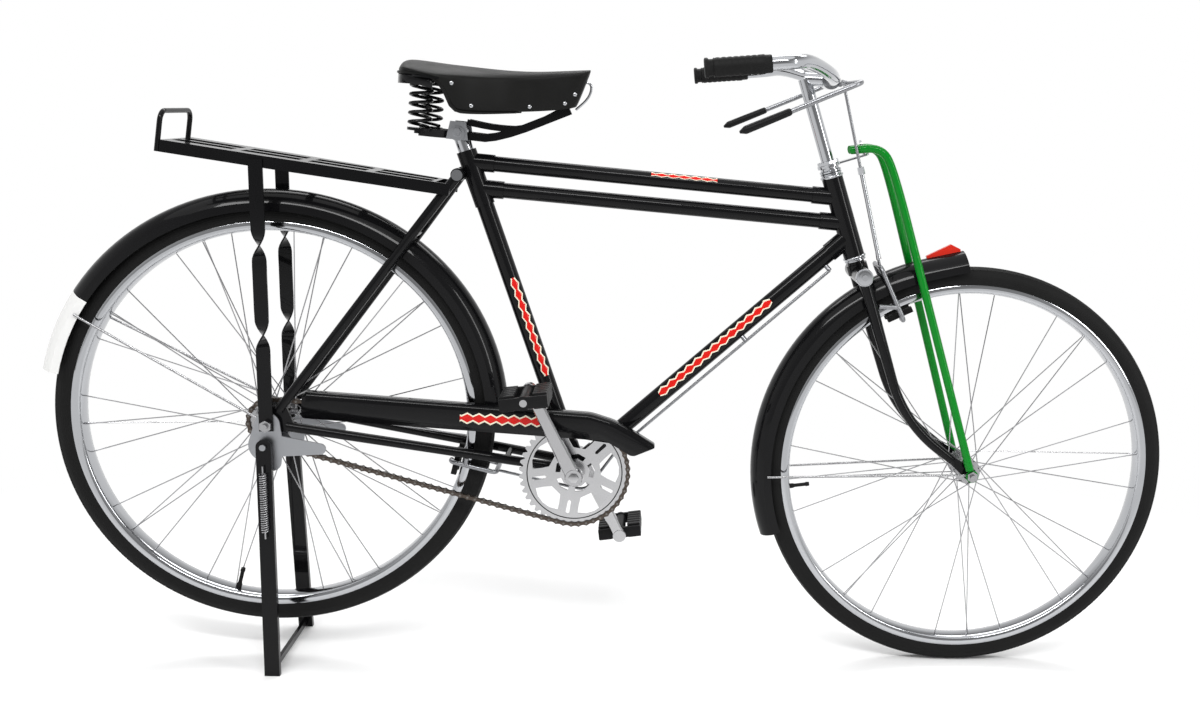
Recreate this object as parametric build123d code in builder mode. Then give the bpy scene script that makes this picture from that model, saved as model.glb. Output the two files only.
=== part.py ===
# Rod-brake roadster bicycle with a rear carrier, parked on its rear stand.
from build123d import *
from math import asin, atan2, cos, hypot, pi, radians, sin, tan
import os

os.makedirs("parts", exist_ok=True)

# Whole bicycle, in millimetres
WHEELBASE = 1170
REAR_LIFT = 58
FIT_GAP = 0.3
RUNNING_GAP = 0.3

# Wheels
TYRE_RADIUS = 355
TYRE_WIDTH = 38
TREAD_HALF = 6
SHOULDER_DROP = 10
SHOULDER_HALF = 16.5
WALL_RADIUS = 333
BEAD_RADIUS = 318
BEAD_HALF = 11
RIM_INNER_RADIUS = 309
RIM_TROUGH_HALF = 7
RIM_SIDE_RADIUS = 313
RIM_LIP_RADIUS = 325
RIM_WIDTH = 37
RIM_WELL_HALF = 12
SPOKE_RADIUS = 1.0
SPOKE_RIM_HALF = 5
SPOKE_CROSS = 70
FRONT_SPOKES = 32
REAR_SPOKES = 40
HUB_FLANGE_RADIUS = 22
HUB_FLANGE_THICK = 3
HUB_BARREL_RADIUS = 14
FRONT_FLANGE_HALF = 29
REAR_FLANGE_HALF = 28
FREEWHEEL_SEAT_RADIUS = 17

# Axles, nuts and what they clamp
AXLE_RADIUS = 4.8
FRONT_HUB_HALF = 45
REAR_HUB_HALF = 54
CONE_RADIUS = 8
CONE_LENGTH = 1.5
END_PLATE = 5
STAY_EYE = 5
BRACKET_PLATE = 3
STRUT_PLATE = 3
NUT_LENGTH = 9
NUT_FLATS = 17
AXLE_STUB = 6

# Frame tubes
TOP_TUBE_RADIUS = 12.7
MAIN_TUBE_RADIUS = 14.3
HEAD_TUBE_RADIUS = 18
STEERER_RADIUS = 12.7
STEERER_PLAY = 0.7
LUG_WALL = 2
HEAD_LUG_REACH = 44
SEAT_LUG_REACH = 40
SEAT_LUG_LENGTH = 93
SHELL_LUG_REACH = 42
SHELL_RADIUS = 20.5
SHELL_HALF = 35
HEAD_ANGLE = 68
FORK_RAKE = 86
SEAT_ANGLE = 67
SEAT_TUBE_LENGTH = 562
BRACKET_DROP = 50
TOP_TUBE_HEIGHT = 450
SEAT_SOCKET_DROP = 17
SECOND_TUBE_DROP = 42
DOWN_TUBE_HEIGHT = 386
HEAD_LOW_HEIGHT = 354
HEAD_HIGH_HEIGHT = 482
STAY_RADIUS = 8
STAY_REAR_SIDE = 58
STAY_WAIST_SIDE = 44
CHAINSTAY_WAIST_SIDE = 33
STAY_WAIST_REACH = 392
STAY_BEND = 60
CHAINSTAY_FRONT_SIDE = 24
SEATSTAY_HEIGHT = 47
SEATSTAY_BACK = 23
SEAT_EAR_RADIUS = 9
SEAT_EAR_HALF = 18
BRIDGE_RADIUS = 5
DROPOUT_EYE = 15
DROPOUT_REACH = 36

# Headset, stem and seat post
CUP_RADIUS = 20
CUP_LENGTH = 9
RACE_LENGTH = 5
LOCKNUT_LENGTH = 20
LAMP_REACH = 62
LAMP_WIDTH = 22
LAMP_PLATE = 4
LAMP_BOLT_RADIUS = 4
LAMP_BOLT_LENGTH = 24
STEM_RADIUS = 11.1
STEM_HEIGHT = 640
SEAT_POST_RADIUS = 12.7
SEAT_CLIP_HEIGHT = 28
SEAT_CLIP_RADIUS = 12
SEAT_CLIP_HALF = 32

# Fork
CROWN_HEIGHT = 325
CROWN_RADIUS = 15
CROWN_HALF = 60
CROWN_CAP = 5
BLADE_TOP_RADIUS = 11
BLADE_WAIST_RADIUS = 8.5
BLADE_TIP_RADIUS = 7
BLADE_SIDE = 48
BLADE_TIP_ANGLE = 33
BLADE_BEND = 240
FORK_EYE = 11

# Chain drive
CHAIN_PITCH = 12.7
RING_TEETH = 44
SPROCKET_TEETH = 18
CHAIN_LINKS = 110
CHAIN_LINE = 44
CHAIN_HALF_HEIGHT = 4.4
CHAIN_WAIST = 3.0
CHAIN_INNER_HALF = 2.1
CHAIN_PLATE = 2.4
TOOTH_RISE = 3.6
TOOTH_ROOT = 4.4
TOOTH_THICK = 2.8
RING_WINDOWS = 5
RING_SLOT_REACH = 55
RING_SLOT_LENGTH = 26
RING_SLOT_WIDTH = 6
FREEWHEEL_RADIUS = 27
FREEWHEEL_WIDTH = 12

# Cranks and pedals
CRANK_LENGTH = 165
CRANK_ANGLE = 117.5
CRANK_INSIDE = 62
CRANK_THICK = 14
CRANK_BOSS_RADIUS = 17
CRANK_EYE_RADIUS = 12
CRANK_AXLE_RADIUS = 8
PEDAL_AXLE_RADIUS = 6
PEDAL_TUBE_RADIUS = 10
PEDAL_LENGTH = 76
PEDAL_WIDTH = 90
PEDAL_HEIGHT = 26
PEDAL_TREAD = 24
PEDAL_END = 8
PEDAL_GAP = 3
PEDAL_TILT = 11

# Chain case
CASE_INSIDE = 33
CASE_OUTSIDE = 54
CASE_WALL = 1.6
CASE_REAR = 47
CASE_TOP = 55
CASE_BOTTOM = 11
CASE_NOSE_AHEAD = 134
CASE_NOSE_HEIGHT = 56
CASE_SHOULDER_AHEAD = 22
CASE_CHIN_AHEAD = 93
CASE_CHIN_HEIGHT = 36
CASE_MOUTH_AHEAD = 46
CASE_CORNER = 12

# Mudguards
MUDGUARD_RADIUS = 377
MUDGUARD_WIDTH = 62
MUDGUARD_SKIRT = 343
MUDGUARD_CHEEK = 356
MUDGUARD_SHEET = 1.6
REAR_MUDGUARD_START = 3
REAR_MUDGUARD_END = 172
FRONT_MUDGUARD_START = 107
FRONT_MUDGUARD_END = 203
FRONT_NOSE_LENGTH = 65
MUDGUARD_STAY_RADIUS = 2
REAR_MUDGUARD_STAY_ANGLE = 155
FRONT_MUDGUARD_STAY_ANGLE = 186
STAY_EYE_RADIUS = 9
ORNAMENT_LENGTH = 60
ORNAMENT_HEIGHT = 15
ORNAMENT_HALF = 4
ORNAMENT_BASE = 4
ORNAMENT_TIP = 46

# Carrier
CARRIER_REAR = 180
CARRIER_FRONT = 237
CARRIER_REAR_HEIGHT = 442
CARRIER_FRONT_HEIGHT = 415
CARRIER_WAIST = 160
CARRIER_TONGUE = 24
CARRIER_PLATE = 3
CARRIER_RAIL = 14
CARRIER_FLANGE = 19
CARRIER_SLATS = 4
HOOP_HEIGHT = 44
HOOP_RADIUS = 4
HOOP_BEND = 16
STRUT_WIDTH = 22
STRUT_BACK = 36
STRUT_EYE_RADIUS = 11

# Saddle
SADDLE_REAR = 92
SADDLE_NOSE = 204
SADDLE_WIDTH = 210
SADDLE_NOSE_WIDTH = 48
SADDLE_TOP_HEIGHT = 116
SADDLE_DIP = 2
SADDLE_NOSE_RISE = 15
SADDLE_NOSE_LEAN = 13
SADDLE_CROWN = 22
SADDLE_WIDEST = 64
SADDLE_WAIST = 165
SADDLE_WAIST_WIDTH = 86
SADDLE_SKIRT_REAR = 74
SADDLE_SKIRT_NOSE = 54
SADDLE_CANTLE_HEIGHT = 24
SADDLE_CANTLE_DEPTH = 100
SADDLE_STEP_ROUND = 30
SADDLE_SKIRT_ROUND = 12
CANTLE_PLATE = 3
SADDLE_SHELL = 4
SPRING_BACK = 56
SPRING_SIDE = 52
SPRING_RADIUS = 17
SPRING_WIRE = 5
SPRING_TURNS = 5
SADDLE_BAR_HEIGHT = 22
SADDLE_BAR_RADIUS = 4
SADDLE_BAR_SIDE = 14
SADDLE_NOSE_BAR = 9
SADDLE_BAR_LOW = 62
SADDLE_BAR_NOSE = 30
SADDLE_BAR_BEND = 12

# Handlebar and brake levers
BAR_RADIUS = 11.1
BAR_AHEAD = 42
BAR_HEIGHT = 642
BAR_SHOULDER_SIDE = 105
BAR_CORNER_SIDE = 214
BAR_CORNER_BACK = 58
BAR_CORNER_HEIGHT = 661
BAR_REACH = 214
BAR_GRIP_SIDE = 264
BAR_END_HEIGHT = 633
BAR_GRIP_RISE = 22
BAR_BEND = 60
GRIP_RADIUS = 15
GRIP_LENGTH = 128
GRIP_CAP = 4
LEVER_RADIUS = 4
LEVER_END_BACK = 149
LEVER_DROP = 84
LEVER_SIDE = 232
LEVER_SLEEVE_RADIUS = 8
LEVER_SLEEVE_LENGTH = 76
LEVER_FRONT = 22
LEVER_ROD_DROP = 4
LEVER_BEND = 16
LEVER_LUG_SIDE = 62

# Brake rods and stirrups
ROD_RADIUS = 2.5
STIRRUP_RADIUS = 4
STIRRUP_HALF = 37
STIRRUP_BEND = 9
STIRRUP_RISE = 11
REAR_STIRRUP_HALF = 28
FRONT_SHOE_ANGLE = 119.5
REAR_SHOE_ANGLE = -10
REAR_GUIDE_REACH = 318
FRONT_GUIDE_REACH = 318
SHOE_LENGTH = 46
SHOE_HEIGHT = 9
SHOE_WIDTH = 11
SHOE_SIDE = 15
SHOE_CLEARANCE = 3
ROD_SIDE = 22
ROD_CLIP_RADIUS = 4
REAR_ROD_BELOW = 22
REAR_ROD_SIDE = 12
REAR_ROD_TOP = 62
REAR_ROD_ELBOW = 75
REAR_ROD_UNDER = 18

# Fork support stays
SUPPORT_RADIUS = 7
SUPPORT_TOP_BACK = 22
SUPPORT_LIFT = 2
SUPPORT_TOP_SIDE = 10
SUPPORT_KNEE_BACK = 203
SUPPORT_KNEE_HEIGHT = 541
SUPPORT_KNEE_SIDE = 32
SUPPORT_BEND = 26
SUPPORT_FLAT = 3
SUPPORT_EYE = 11

# Stand
STAND_PIVOT_DROP = 34
STAND_PIVOT_BACK = 1
STAND_PIVOT_RADIUS = 5
STAND_LEG_WIDTH = 24
STAND_LEG_THICK = 9
STAND_FOOT_AHEAD = 16
STAND_FOOT_SPREAD = 24
STAND_BAR_DEPTH = 10
STAND_BAR_THICK = 6
STAND_BAR_RISE = 6
STAND_BRACKET_ARM = 85
STAND_BRACKET_ARM_DROP = 34
STAND_ARM_RADIUS = 9
STAND_BRACKET_RADIUS = 20
STAND_BELLY_AHEAD = 11
STAND_BELLY_DROP = 62
STAND_BELLY_RADIUS = 14
STAND_PLATE_RADIUS = 27
STAND_SPRING_RADIUS = 6
STAND_SPRING_LENGTH = 130
STAND_SPRING_START = 24

# Pitch of the parked bicycle and the place of its front axle
PITCH = asin(REAR_LIFT / WHEELBASE)
TAIL_TURN = radians(REAR_MUDGUARD_END) - PITCH
TAIL_REACH = -MUDGUARD_RADIUS * cos(TAIL_TURN)
FRONT_X = (WHEELBASE * cos(PITCH) + TAIL_REACH - TYRE_RADIUS) / 2
AHEAD = Vector(cos(PITCH), 0, -sin(PITCH))
ABOVE = Vector(sin(PITCH), 0, cos(PITCH))
OUTWARD = (1, -1)


def spot(along, up, side=0):
    """A point of the parked bicycle, given ahead of and above its front axle when level."""
    return Vector(FRONT_X, side, TYRE_RADIUS) + AHEAD * along + ABOVE * up


def flank(side):
    """The plane along the bicycle at one side distance, facing the rider's right."""
    return Plane(origin=spot(0, 0, side), x_dir=AHEAD, z_dir=(0, -1, 0))


def slab_start(hand, inner, outer):
    """Where a plate between two side distances starts, so that it grows to the right."""
    return outer if hand > 0 else -inner


def rod(start, end, radius, mode=Mode.ADD):
    """A round bar between two points."""
    line = end - start
    with Locations(Plane(origin=start, z_dir=line).location):
        Cylinder(radius, line.length, align=(Align.CENTER, Align.CENTER, Align.MIN), mode=mode)


def tapered(start, end, start_radius, end_radius):
    """A round bar between two points that narrows along its length."""
    line = end - start
    with Locations(Plane(origin=start, z_dir=line).location):
        Cone(start_radius, end_radius, line.length, align=(Align.CENTER, Align.CENTER, Align.MIN))


def cross_rod(centre, half, radius, mode=Mode.ADD):
    """A round bar across the bicycle."""
    rod(centre - Vector(0, half, 0), centre + Vector(0, half, 0), radius, mode)


def bent_bar(points, radius, bend):
    """A round bar through points, with rounded bends."""
    with BuildLine() as path:
        FilletPolyline(*points, radius=bend)
    with BuildSketch(Plane(origin=path.line @ 0, z_dir=path.line % 0)) as section:
        Circle(radius)
    sweep(section.sketch, path=path.line)


def turned(axle, points):
    """A ring turned from an outline of radii and side distances."""
    with BuildSketch(Plane(origin=axle, x_dir=(1, 0, 0), z_dir=(0, 0, 1))) as section:
        with BuildLine():
            Polyline(*points, close=True)
        make_face()
    revolve(section.sketch, axis=Axis(axle, (0, 1, 0)))


def plate(points, hand, inner, outer, mode=Mode.ADD, corner=0):
    """A flat plate along the bicycle from its outline, on one side."""
    with BuildSketch(flank(slab_start(hand, inner, outer))) as outline:
        with BuildLine():
            Polyline(*points, close=True)
        make_face()
        if corner:
            fillet(outline.vertices(), corner)
    extrude(outline.sketch, amount=outer - inner, mode=mode)


def link_plate(circles, hand, inner, outer):
    """A flat plate drawn tight round circles, each given by its centre and radius."""
    with BuildSketch(flank(slab_start(hand, inner, outer))) as outline:
        for along, up, radius in circles:
            with Locations((along, up)):
                Circle(radius)
        make_hull()
    extrude(outline.sketch, amount=outer - inner)


# Places on the level bicycle, ahead of and above the front axle
HEAD_RUN = 1 / tan(radians(HEAD_ANGLE))
SEAT_RUN = 1 / tan(radians(SEAT_ANGLE))
TRAIL = FORK_RAKE / sin(radians(HEAD_ANGLE))
AXIS_UP = Vector(-cos(radians(HEAD_ANGLE)), sin(radians(HEAD_ANGLE)))
SEAT_UP = Vector(-cos(radians(SEAT_ANGLE)), sin(radians(SEAT_ANGLE)))
RING_RADIUS = CHAIN_PITCH / 2 / sin(pi / RING_TEETH)
SPROCKET_RADIUS = CHAIN_PITCH / 2 / sin(pi / SPROCKET_TEETH)


def chain_length(centres):
    """The length of the chain round both sprockets."""
    slope = asin((RING_RADIUS - SPROCKET_RADIUS) / centres)
    wraps = (pi + 2 * slope) * RING_RADIUS + (pi - 2 * slope) * SPROCKET_RADIUS
    return 2 * centres * cos(slope) + wraps


CHAINSTAY = CHAIN_LINKS * CHAIN_PITCH / 2 - (RING_RADIUS + SPROCKET_RADIUS) * pi / 2
while chain_length(CHAINSTAY) > CHAIN_LINKS * CHAIN_PITCH:
    CHAINSTAY = CHAINSTAY - (chain_length(CHAINSTAY) - CHAIN_LINKS * CHAIN_PITCH) / 2 - FIT_GAP / CHAIN_LINKS

BRACKET = Vector((CHAINSTAY**2 - BRACKET_DROP**2) ** 0.5 - WHEELBASE, -BRACKET_DROP)
REAR = Vector(-WHEELBASE, 0)
STAY_RUN = (REAR - BRACKET).normalized()


def head_at(up):
    """How far ahead the steering axis lies at a height above the axles."""
    return -TRAIL - up * HEAD_RUN


def seat_at(up):
    """How far ahead the seat tube's axis lies at a height above the axles."""
    return BRACKET.X - (up + BRACKET_DROP) * SEAT_RUN


def steer(up, ahead=0, side=0):
    """A point beside the steering axis: square to it by an amount ahead, and to one side."""
    reach = Vector(head_at(up), up) + Vector(AXIS_UP.Y, -AXIS_UP.X) * ahead
    return spot(reach.X, reach.Y, side)


def on_stay(from_axle, side=0):
    """A point on the line from the rear axle to the bottom bracket."""
    place = REAR - STAY_RUN * from_axle
    return spot(place.X, place.Y, side)


SEAT_LUG_UP = SEAT_TUBE_LENGTH * SEAT_UP.Y - BRACKET_DROP
SEATSTAY_UP = SEAT_LUG_UP - SEAT_LUG_LENGTH * SEAT_UP.Y + SEATSTAY_HEIGHT
SEATSTAY_TOP = Vector(seat_at(SEATSTAY_UP) - SEATSTAY_BACK, SEATSTAY_UP)
SEATSTAY_RUN = (SEATSTAY_TOP - REAR).normalized()
SEATSTAY_LENGTH = (SEATSTAY_TOP - REAR).length


def on_seatstay(from_axle, side=0):
    """A point on the line from the rear axle to the seat bolt."""
    place = REAR + SEATSTAY_RUN * from_axle
    return spot(place.X, place.Y, side)


FRONT_AXLE = spot(0, 0)
REAR_AXLE = spot(REAR.X, REAR.Y)
BRACKET_CENTRE = spot(BRACKET.X, BRACKET.Y)
AXIS_LINE = AHEAD * AXIS_UP.X + ABOVE * AXIS_UP.Y
SEAT_LINE = AHEAD * SEAT_UP.X + ABOVE * SEAT_UP.Y
HEAD_LOW = steer(HEAD_LOW_HEIGHT)
HEAD_HIGH = steer(HEAD_HIGH_HEIGHT)
SEAT_LUG_TOP = BRACKET_CENTRE + SEAT_LINE * SEAT_TUBE_LENGTH
SEAT_LUG_LOW = SEAT_LUG_TOP - SEAT_LINE * SEAT_LUG_LENGTH
DOWN_TUBE_TOP = steer(DOWN_TUBE_HEIGHT)
DOWN_LINE = (DOWN_TUBE_TOP - BRACKET_CENTRE).normalized()


def top_tube(drop):
    """The ends of a top tube's axis at the seat tube and at the head, a drop below the upper one."""
    rear_up = SEAT_LUG_UP - SEAT_SOCKET_DROP - drop
    return spot(seat_at(rear_up), rear_up), steer(TOP_TUBE_HEIGHT - drop)


TOP_TUBES = [top_tube(drop) for drop in (0, SECOND_TUBE_DROP)]

# Head tube with its three lug sockets
with BuildPart() as head_lugs:
    rod(HEAD_LOW, HEAD_HIGH, HEAD_TUBE_RADIUS)
    for rear_end, front_end in TOP_TUBES:
        line = (front_end - rear_end).normalized()
        rod(front_end, front_end - line * HEAD_LUG_REACH, TOP_TUBE_RADIUS + LUG_WALL)
    rod(DOWN_TUBE_TOP, DOWN_TUBE_TOP - DOWN_LINE * HEAD_LUG_REACH, MAIN_TUBE_RADIUS + LUG_WALL)
    rod(HEAD_LOW, HEAD_HIGH, STEERER_RADIUS + STEERER_PLAY, Mode.SUBTRACT)
head_lugs.part.label = "head_lugs"
export_step(head_lugs.part, "parts/head_lugs.step")

# Seat lug: a sleeve with two sockets, an ear for the seat bolt and a solid top
with BuildPart() as seat_lug:
    rod(SEAT_LUG_LOW, SEAT_LUG_TOP, MAIN_TUBE_RADIUS + LUG_WALL)
    for rear_end, front_end in TOP_TUBES:
        line = (front_end - rear_end).normalized()
        rod(rear_end, rear_end + line * SEAT_LUG_REACH, TOP_TUBE_RADIUS + LUG_WALL)
    cross_rod(spot(SEATSTAY_TOP.X, SEATSTAY_TOP.Y), SEAT_EAR_HALF, SEAT_EAR_RADIUS)
seat_lug.part.label = "seat_lug"
export_step(seat_lug.part, "parts/seat_lug.step")

# The two top tubes, the down tube and the seat tube between their lugs
with BuildPart() as top_tubes:
    for rear_end, front_end in TOP_TUBES:
        line = (front_end - rear_end).normalized()
        rod(rear_end + line * SEAT_LUG_REACH, front_end - line * HEAD_LUG_REACH, TOP_TUBE_RADIUS)
top_tubes.part.label = "top_tubes"
export_step(top_tubes.part, "parts/top_tubes.step")

with BuildPart() as down_tube:
    low_end = BRACKET_CENTRE + DOWN_LINE * SHELL_LUG_REACH
    rod(low_end, DOWN_TUBE_TOP - DOWN_LINE * HEAD_LUG_REACH, MAIN_TUBE_RADIUS)
down_tube.part.label = "down_tube"
export_step(down_tube.part, "parts/down_tube.step")

with BuildPart() as seat_tube:
    rod(BRACKET_CENTRE + SEAT_LINE * SHELL_LUG_REACH, SEAT_LUG_LOW, MAIN_TUBE_RADIUS)
seat_tube.part.label = "seat_tube"
export_step(seat_tube.part, "parts/seat_tube.step")

# Bottom bracket shell with its sockets
STAY_WAIST = on_stay(STAY_WAIST_REACH, CHAINSTAY_WAIST_SIDE)
STAY_START = on_stay(CHAINSTAY, CHAINSTAY_FRONT_SIDE)
STAY_LINE = (STAY_WAIST - STAY_START).normalized()
STAY_MOUTH = STAY_START + STAY_LINE * SHELL_LUG_REACH


def handed(point, hand):
    """A point given on the left, or its twin on the right."""
    return Vector(point.X, point.Y * hand, point.Z)


with BuildPart() as bottom_bracket:
    cross_rod(BRACKET_CENTRE, SHELL_HALF, SHELL_RADIUS)
    rod(BRACKET_CENTRE, BRACKET_CENTRE + SEAT_LINE * SHELL_LUG_REACH, MAIN_TUBE_RADIUS + LUG_WALL)
    rod(BRACKET_CENTRE, BRACKET_CENTRE + DOWN_LINE * SHELL_LUG_REACH, MAIN_TUBE_RADIUS + LUG_WALL)
    for hand in OUTWARD:
        rod(handed(STAY_START, hand), handed(STAY_MOUTH, hand), STAY_RADIUS + LUG_WALL)
    cross_rod(BRACKET_CENTRE, SHELL_HALF * 2, CRANK_AXLE_RADIUS + RUNNING_GAP, Mode.SUBTRACT)
bottom_bracket.part.label = "bottom_bracket"
export_step(bottom_bracket.part, "parts/bottom_bracket.step")

# Rear dropouts: plates that the stays are slotted over, with the axle hole
DROPOUT_SIDE = REAR_HUB_HALF + CONE_LENGTH
with BuildPart() as rear_dropouts:
    low = REAR - STAY_RUN * DROPOUT_REACH
    high = REAR + SEATSTAY_RUN * DROPOUT_REACH
    circles = [(REAR.X, REAR.Y, DROPOUT_EYE)]
    circles.append((low.X, low.Y, STAY_RADIUS - LUG_WALL))
    circles.append((high.X, high.Y, STAY_RADIUS - LUG_WALL))
    for hand in OUTWARD:
        link_plate(circles, hand, DROPOUT_SIDE, DROPOUT_SIDE + END_PLATE)
    cross_rod(REAR_AXLE, STAY_REAR_SIDE * 2, AXLE_RADIUS + FIT_GAP, Mode.SUBTRACT)
rear_dropouts.part.label = "rear_dropouts"
export_step(rear_dropouts.part, "parts/rear_dropouts.step")

# Chainstays and seatstays, bowed out round the mudguard
with BuildPart() as chainstays:
    for hand in OUTWARD:
        tail = on_stay(DROPOUT_REACH - STAY_RADIUS, STAY_REAR_SIDE * hand)
        bent_bar([handed(STAY_MOUTH, hand), handed(STAY_WAIST, hand), tail], STAY_RADIUS, STAY_BEND)
    add(rear_dropouts.part, mode=Mode.SUBTRACT)
chainstays.part.label = "chainstays"
export_step(chainstays.part, "parts/chainstays.step")

with BuildPart() as seatstays:
    for hand in OUTWARD:
        tail = on_seatstay(DROPOUT_REACH - STAY_RADIUS, STAY_REAR_SIDE * hand)
        waist = on_seatstay(STAY_WAIST_REACH, STAY_WAIST_SIDE * hand)
        neck = on_seatstay(SEATSTAY_LENGTH, (SEAT_EAR_HALF + STAY_RADIUS + LUG_WALL / 2 + FIT_GAP) * hand)
        bent_bar([tail, waist, neck], STAY_RADIUS, STAY_BEND)
        with Locations(Plane(origin=neck, z_dir=(0, 1, 0)).location):
            Cylinder(SEAT_EAR_RADIUS + LUG_WALL, STAY_RADIUS * 2 + LUG_WALL)
    add(rear_dropouts.part, mode=Mode.SUBTRACT)
seatstays.part.label = "seatstays"
export_step(seatstays.part, "parts/seatstays.step")

# Bridges that carry the rear mudguard between the stays
BRIDGE_REACH = MUDGUARD_RADIUS + BRIDGE_RADIUS + FIT_GAP
with BuildPart() as stay_bridges:
    cross_rod(on_stay(BRIDGE_REACH), CHAINSTAY_WAIST_SIDE, BRIDGE_RADIUS)
    cross_rod(on_seatstay(BRIDGE_REACH), STAY_WAIST_SIDE, BRIDGE_RADIUS)
    add(chainstays.part, mode=Mode.SUBTRACT)
    add(seatstays.part, mode=Mode.SUBTRACT)
stay_bridges.part.label = "stay_bridges"
export_step(stay_bridges.part, "parts/stay_bridges.step")

# Seat bolt heads at the ear
with BuildPart() as seat_bolt:
    for hand in OUTWARD:
        face = SEAT_EAR_HALF + FIT_GAP * 4 + STAY_RADIUS * 2 + LUG_WALL
        head = spot(SEATSTAY_TOP.X, SEATSTAY_TOP.Y, face * hand)
        rod(head, head + Vector(0, CROWN_CAP * hand, 0), SEAT_EAR_RADIUS)
seat_bolt.part.label = "seat_bolt"
export_step(seat_bolt.part, "parts/seat_bolt.step")

# Headset cups pressed on both ends of the head tube
with BuildPart() as headset_cups:
    for end, way in ((HEAD_LOW, -1), (HEAD_HIGH, 1)):
        rod(end, end + AXIS_LINE * CUP_LENGTH * way, CUP_RADIUS)
        rod(end, end + AXIS_LINE * CUP_LENGTH * way, STEERER_RADIUS + STEERER_PLAY, Mode.SUBTRACT)
headset_cups.part.label = "headset_cups"
export_step(headset_cups.part, "parts/headset_cups.step")

# Fork crown with its steerer, the crown race and the boss under the stem
CROWN = steer(CROWN_HEIGHT)
LOW_RACE = HEAD_LOW - AXIS_LINE * (CUP_LENGTH + RUNNING_GAP)
LOCKNUT = HEAD_HIGH + AXIS_LINE * (CUP_LENGTH + RUNNING_GAP)
LOCKNUT_TOP = LOCKNUT + AXIS_LINE * LOCKNUT_LENGTH
AXIS_AHEAD = Vector(0, 1, 0).cross(AXIS_LINE)
LAMP_PLANE = Plane(origin=(LOCKNUT + LOCKNUT_TOP) / 2, x_dir=AXIS_AHEAD, z_dir=AXIS_LINE)
with BuildPart() as fork_crown:
    cross_rod(CROWN, CROWN_HALF, CROWN_RADIUS)
    rod(CROWN, LOW_RACE - AXIS_LINE * RACE_LENGTH, HEAD_TUBE_RADIUS)
    rod(CROWN, LOW_RACE, STEERER_RADIUS + LUG_WALL)
    rod(CROWN, LOCKNUT, STEERER_RADIUS)
fork_crown.part.label = "fork_crown"
export_step(fork_crown.part, "parts/fork_crown.step")

# Fork blades, straight down the steering line and then swept forward to the eyes
TIP_RUN = Vector(-cos(radians(BLADE_TIP_ANGLE)), sin(radians(BLADE_TIP_ANGLE)))
TIP_KNEE = TRAIL / (TIP_RUN.Y / AXIS_UP.Y * AXIS_UP.X - TIP_RUN.X)
KNEE = TIP_RUN * TIP_KNEE
BEND_REACH = BLADE_BEND * tan(radians(HEAD_ANGLE - BLADE_TIP_ANGLE) / 2)
FORK_SIDE = FRONT_HUB_HALF + CONE_LENGTH
with BuildPart() as fork_blades:
    for hand in OUTWARD:
        tip = TIP_RUN * FORK_EYE / 2
        start = KNEE + AXIS_UP * BEND_REACH
        end = KNEE - TIP_RUN * BEND_REACH
        crown_end = spot(head_at(CROWN_HEIGHT), CROWN_HEIGHT, BLADE_SIDE * hand)
        bend_start = spot(start.X, start.Y, BLADE_SIDE * hand)
        bend_end = spot(end.X, end.Y, BLADE_SIDE * hand)
        tapered(crown_end, bend_start, BLADE_TOP_RADIUS, BLADE_WAIST_RADIUS)
        with BuildSketch(Plane(origin=bend_start, z_dir=-AXIS_LINE)) as waist:
            Circle(BLADE_WAIST_RADIUS)
        pole = Axis(bend_start + AXIS_AHEAD * BLADE_BEND, (0, -1, 0))
        revolve(waist.sketch, axis=pole, revolution_arc=HEAD_ANGLE - BLADE_TIP_ANGLE)
        tapered(bend_end, spot(tip.X, tip.Y, BLADE_SIDE * hand), BLADE_WAIST_RADIUS, BLADE_TIP_RADIUS)
        for inner, outer in ((0, FORK_SIDE), (FORK_SIDE + END_PLATE, FORK_SIDE * 2)):
            plate([(KNEE.X / 4, KNEE.Y), (FORK_EYE * 2, KNEE.Y),
                   (FORK_EYE * 2, -KNEE.Y), (KNEE.X / 4, -KNEE.Y)],
                  hand, inner, outer, Mode.SUBTRACT)
        link_plate([(0, 0, FORK_EYE), (KNEE.X / 4, KNEE.Y / 4, BLADE_TIP_RADIUS)],
                   hand, FORK_SIDE, FORK_SIDE + END_PLATE)
    cross_rod(FRONT_AXLE, BLADE_SIDE * 2, AXLE_RADIUS + FIT_GAP, Mode.SUBTRACT)
    add(fork_crown.part, mode=Mode.SUBTRACT)
fork_blades.part.label = "fork_blades"
export_step(fork_blades.part, "parts/fork_blades.step")

# Chrome fittings of the fork: the crown's end caps, the lock nut and the lamp bracket
with BuildPart() as fork_fittings:
    for hand in OUTWARD:
        face = spot(head_at(CROWN_HEIGHT), CROWN_HEIGHT, CROWN_HALF * hand)
        rod(face, face + Vector(0, CROWN_CAP * hand, 0), CROWN_RADIUS)
    rod(LOCKNUT, LOCKNUT_TOP, CUP_RADIUS)
    with BuildSketch(LAMP_PLANE) as lamp_plate:
        with Locations((LAMP_REACH / 2, 0)):
            SlotCenterToCenter(LAMP_REACH, LAMP_WIDTH)
    extrude(lamp_plate.sketch, amount=LAMP_PLATE)
    with Locations(LAMP_PLANE.offset(LAMP_PLATE).location * Location((LAMP_REACH, 0, 0))):
        Cylinder(LAMP_BOLT_RADIUS, LAMP_BOLT_LENGTH, align=(Align.CENTER, Align.CENTER, Align.MIN))
fork_fittings.part.label = "fork_fittings"
export_step(fork_fittings.part, "parts/fork_fittings.step")

# Stem with its forward lug, and the swept handlebar through it
BAR_ALONG = head_at(STEM_HEIGHT) + BAR_AHEAD
BAR_CENTRE = spot(BAR_ALONG, BAR_HEIGHT)


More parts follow.
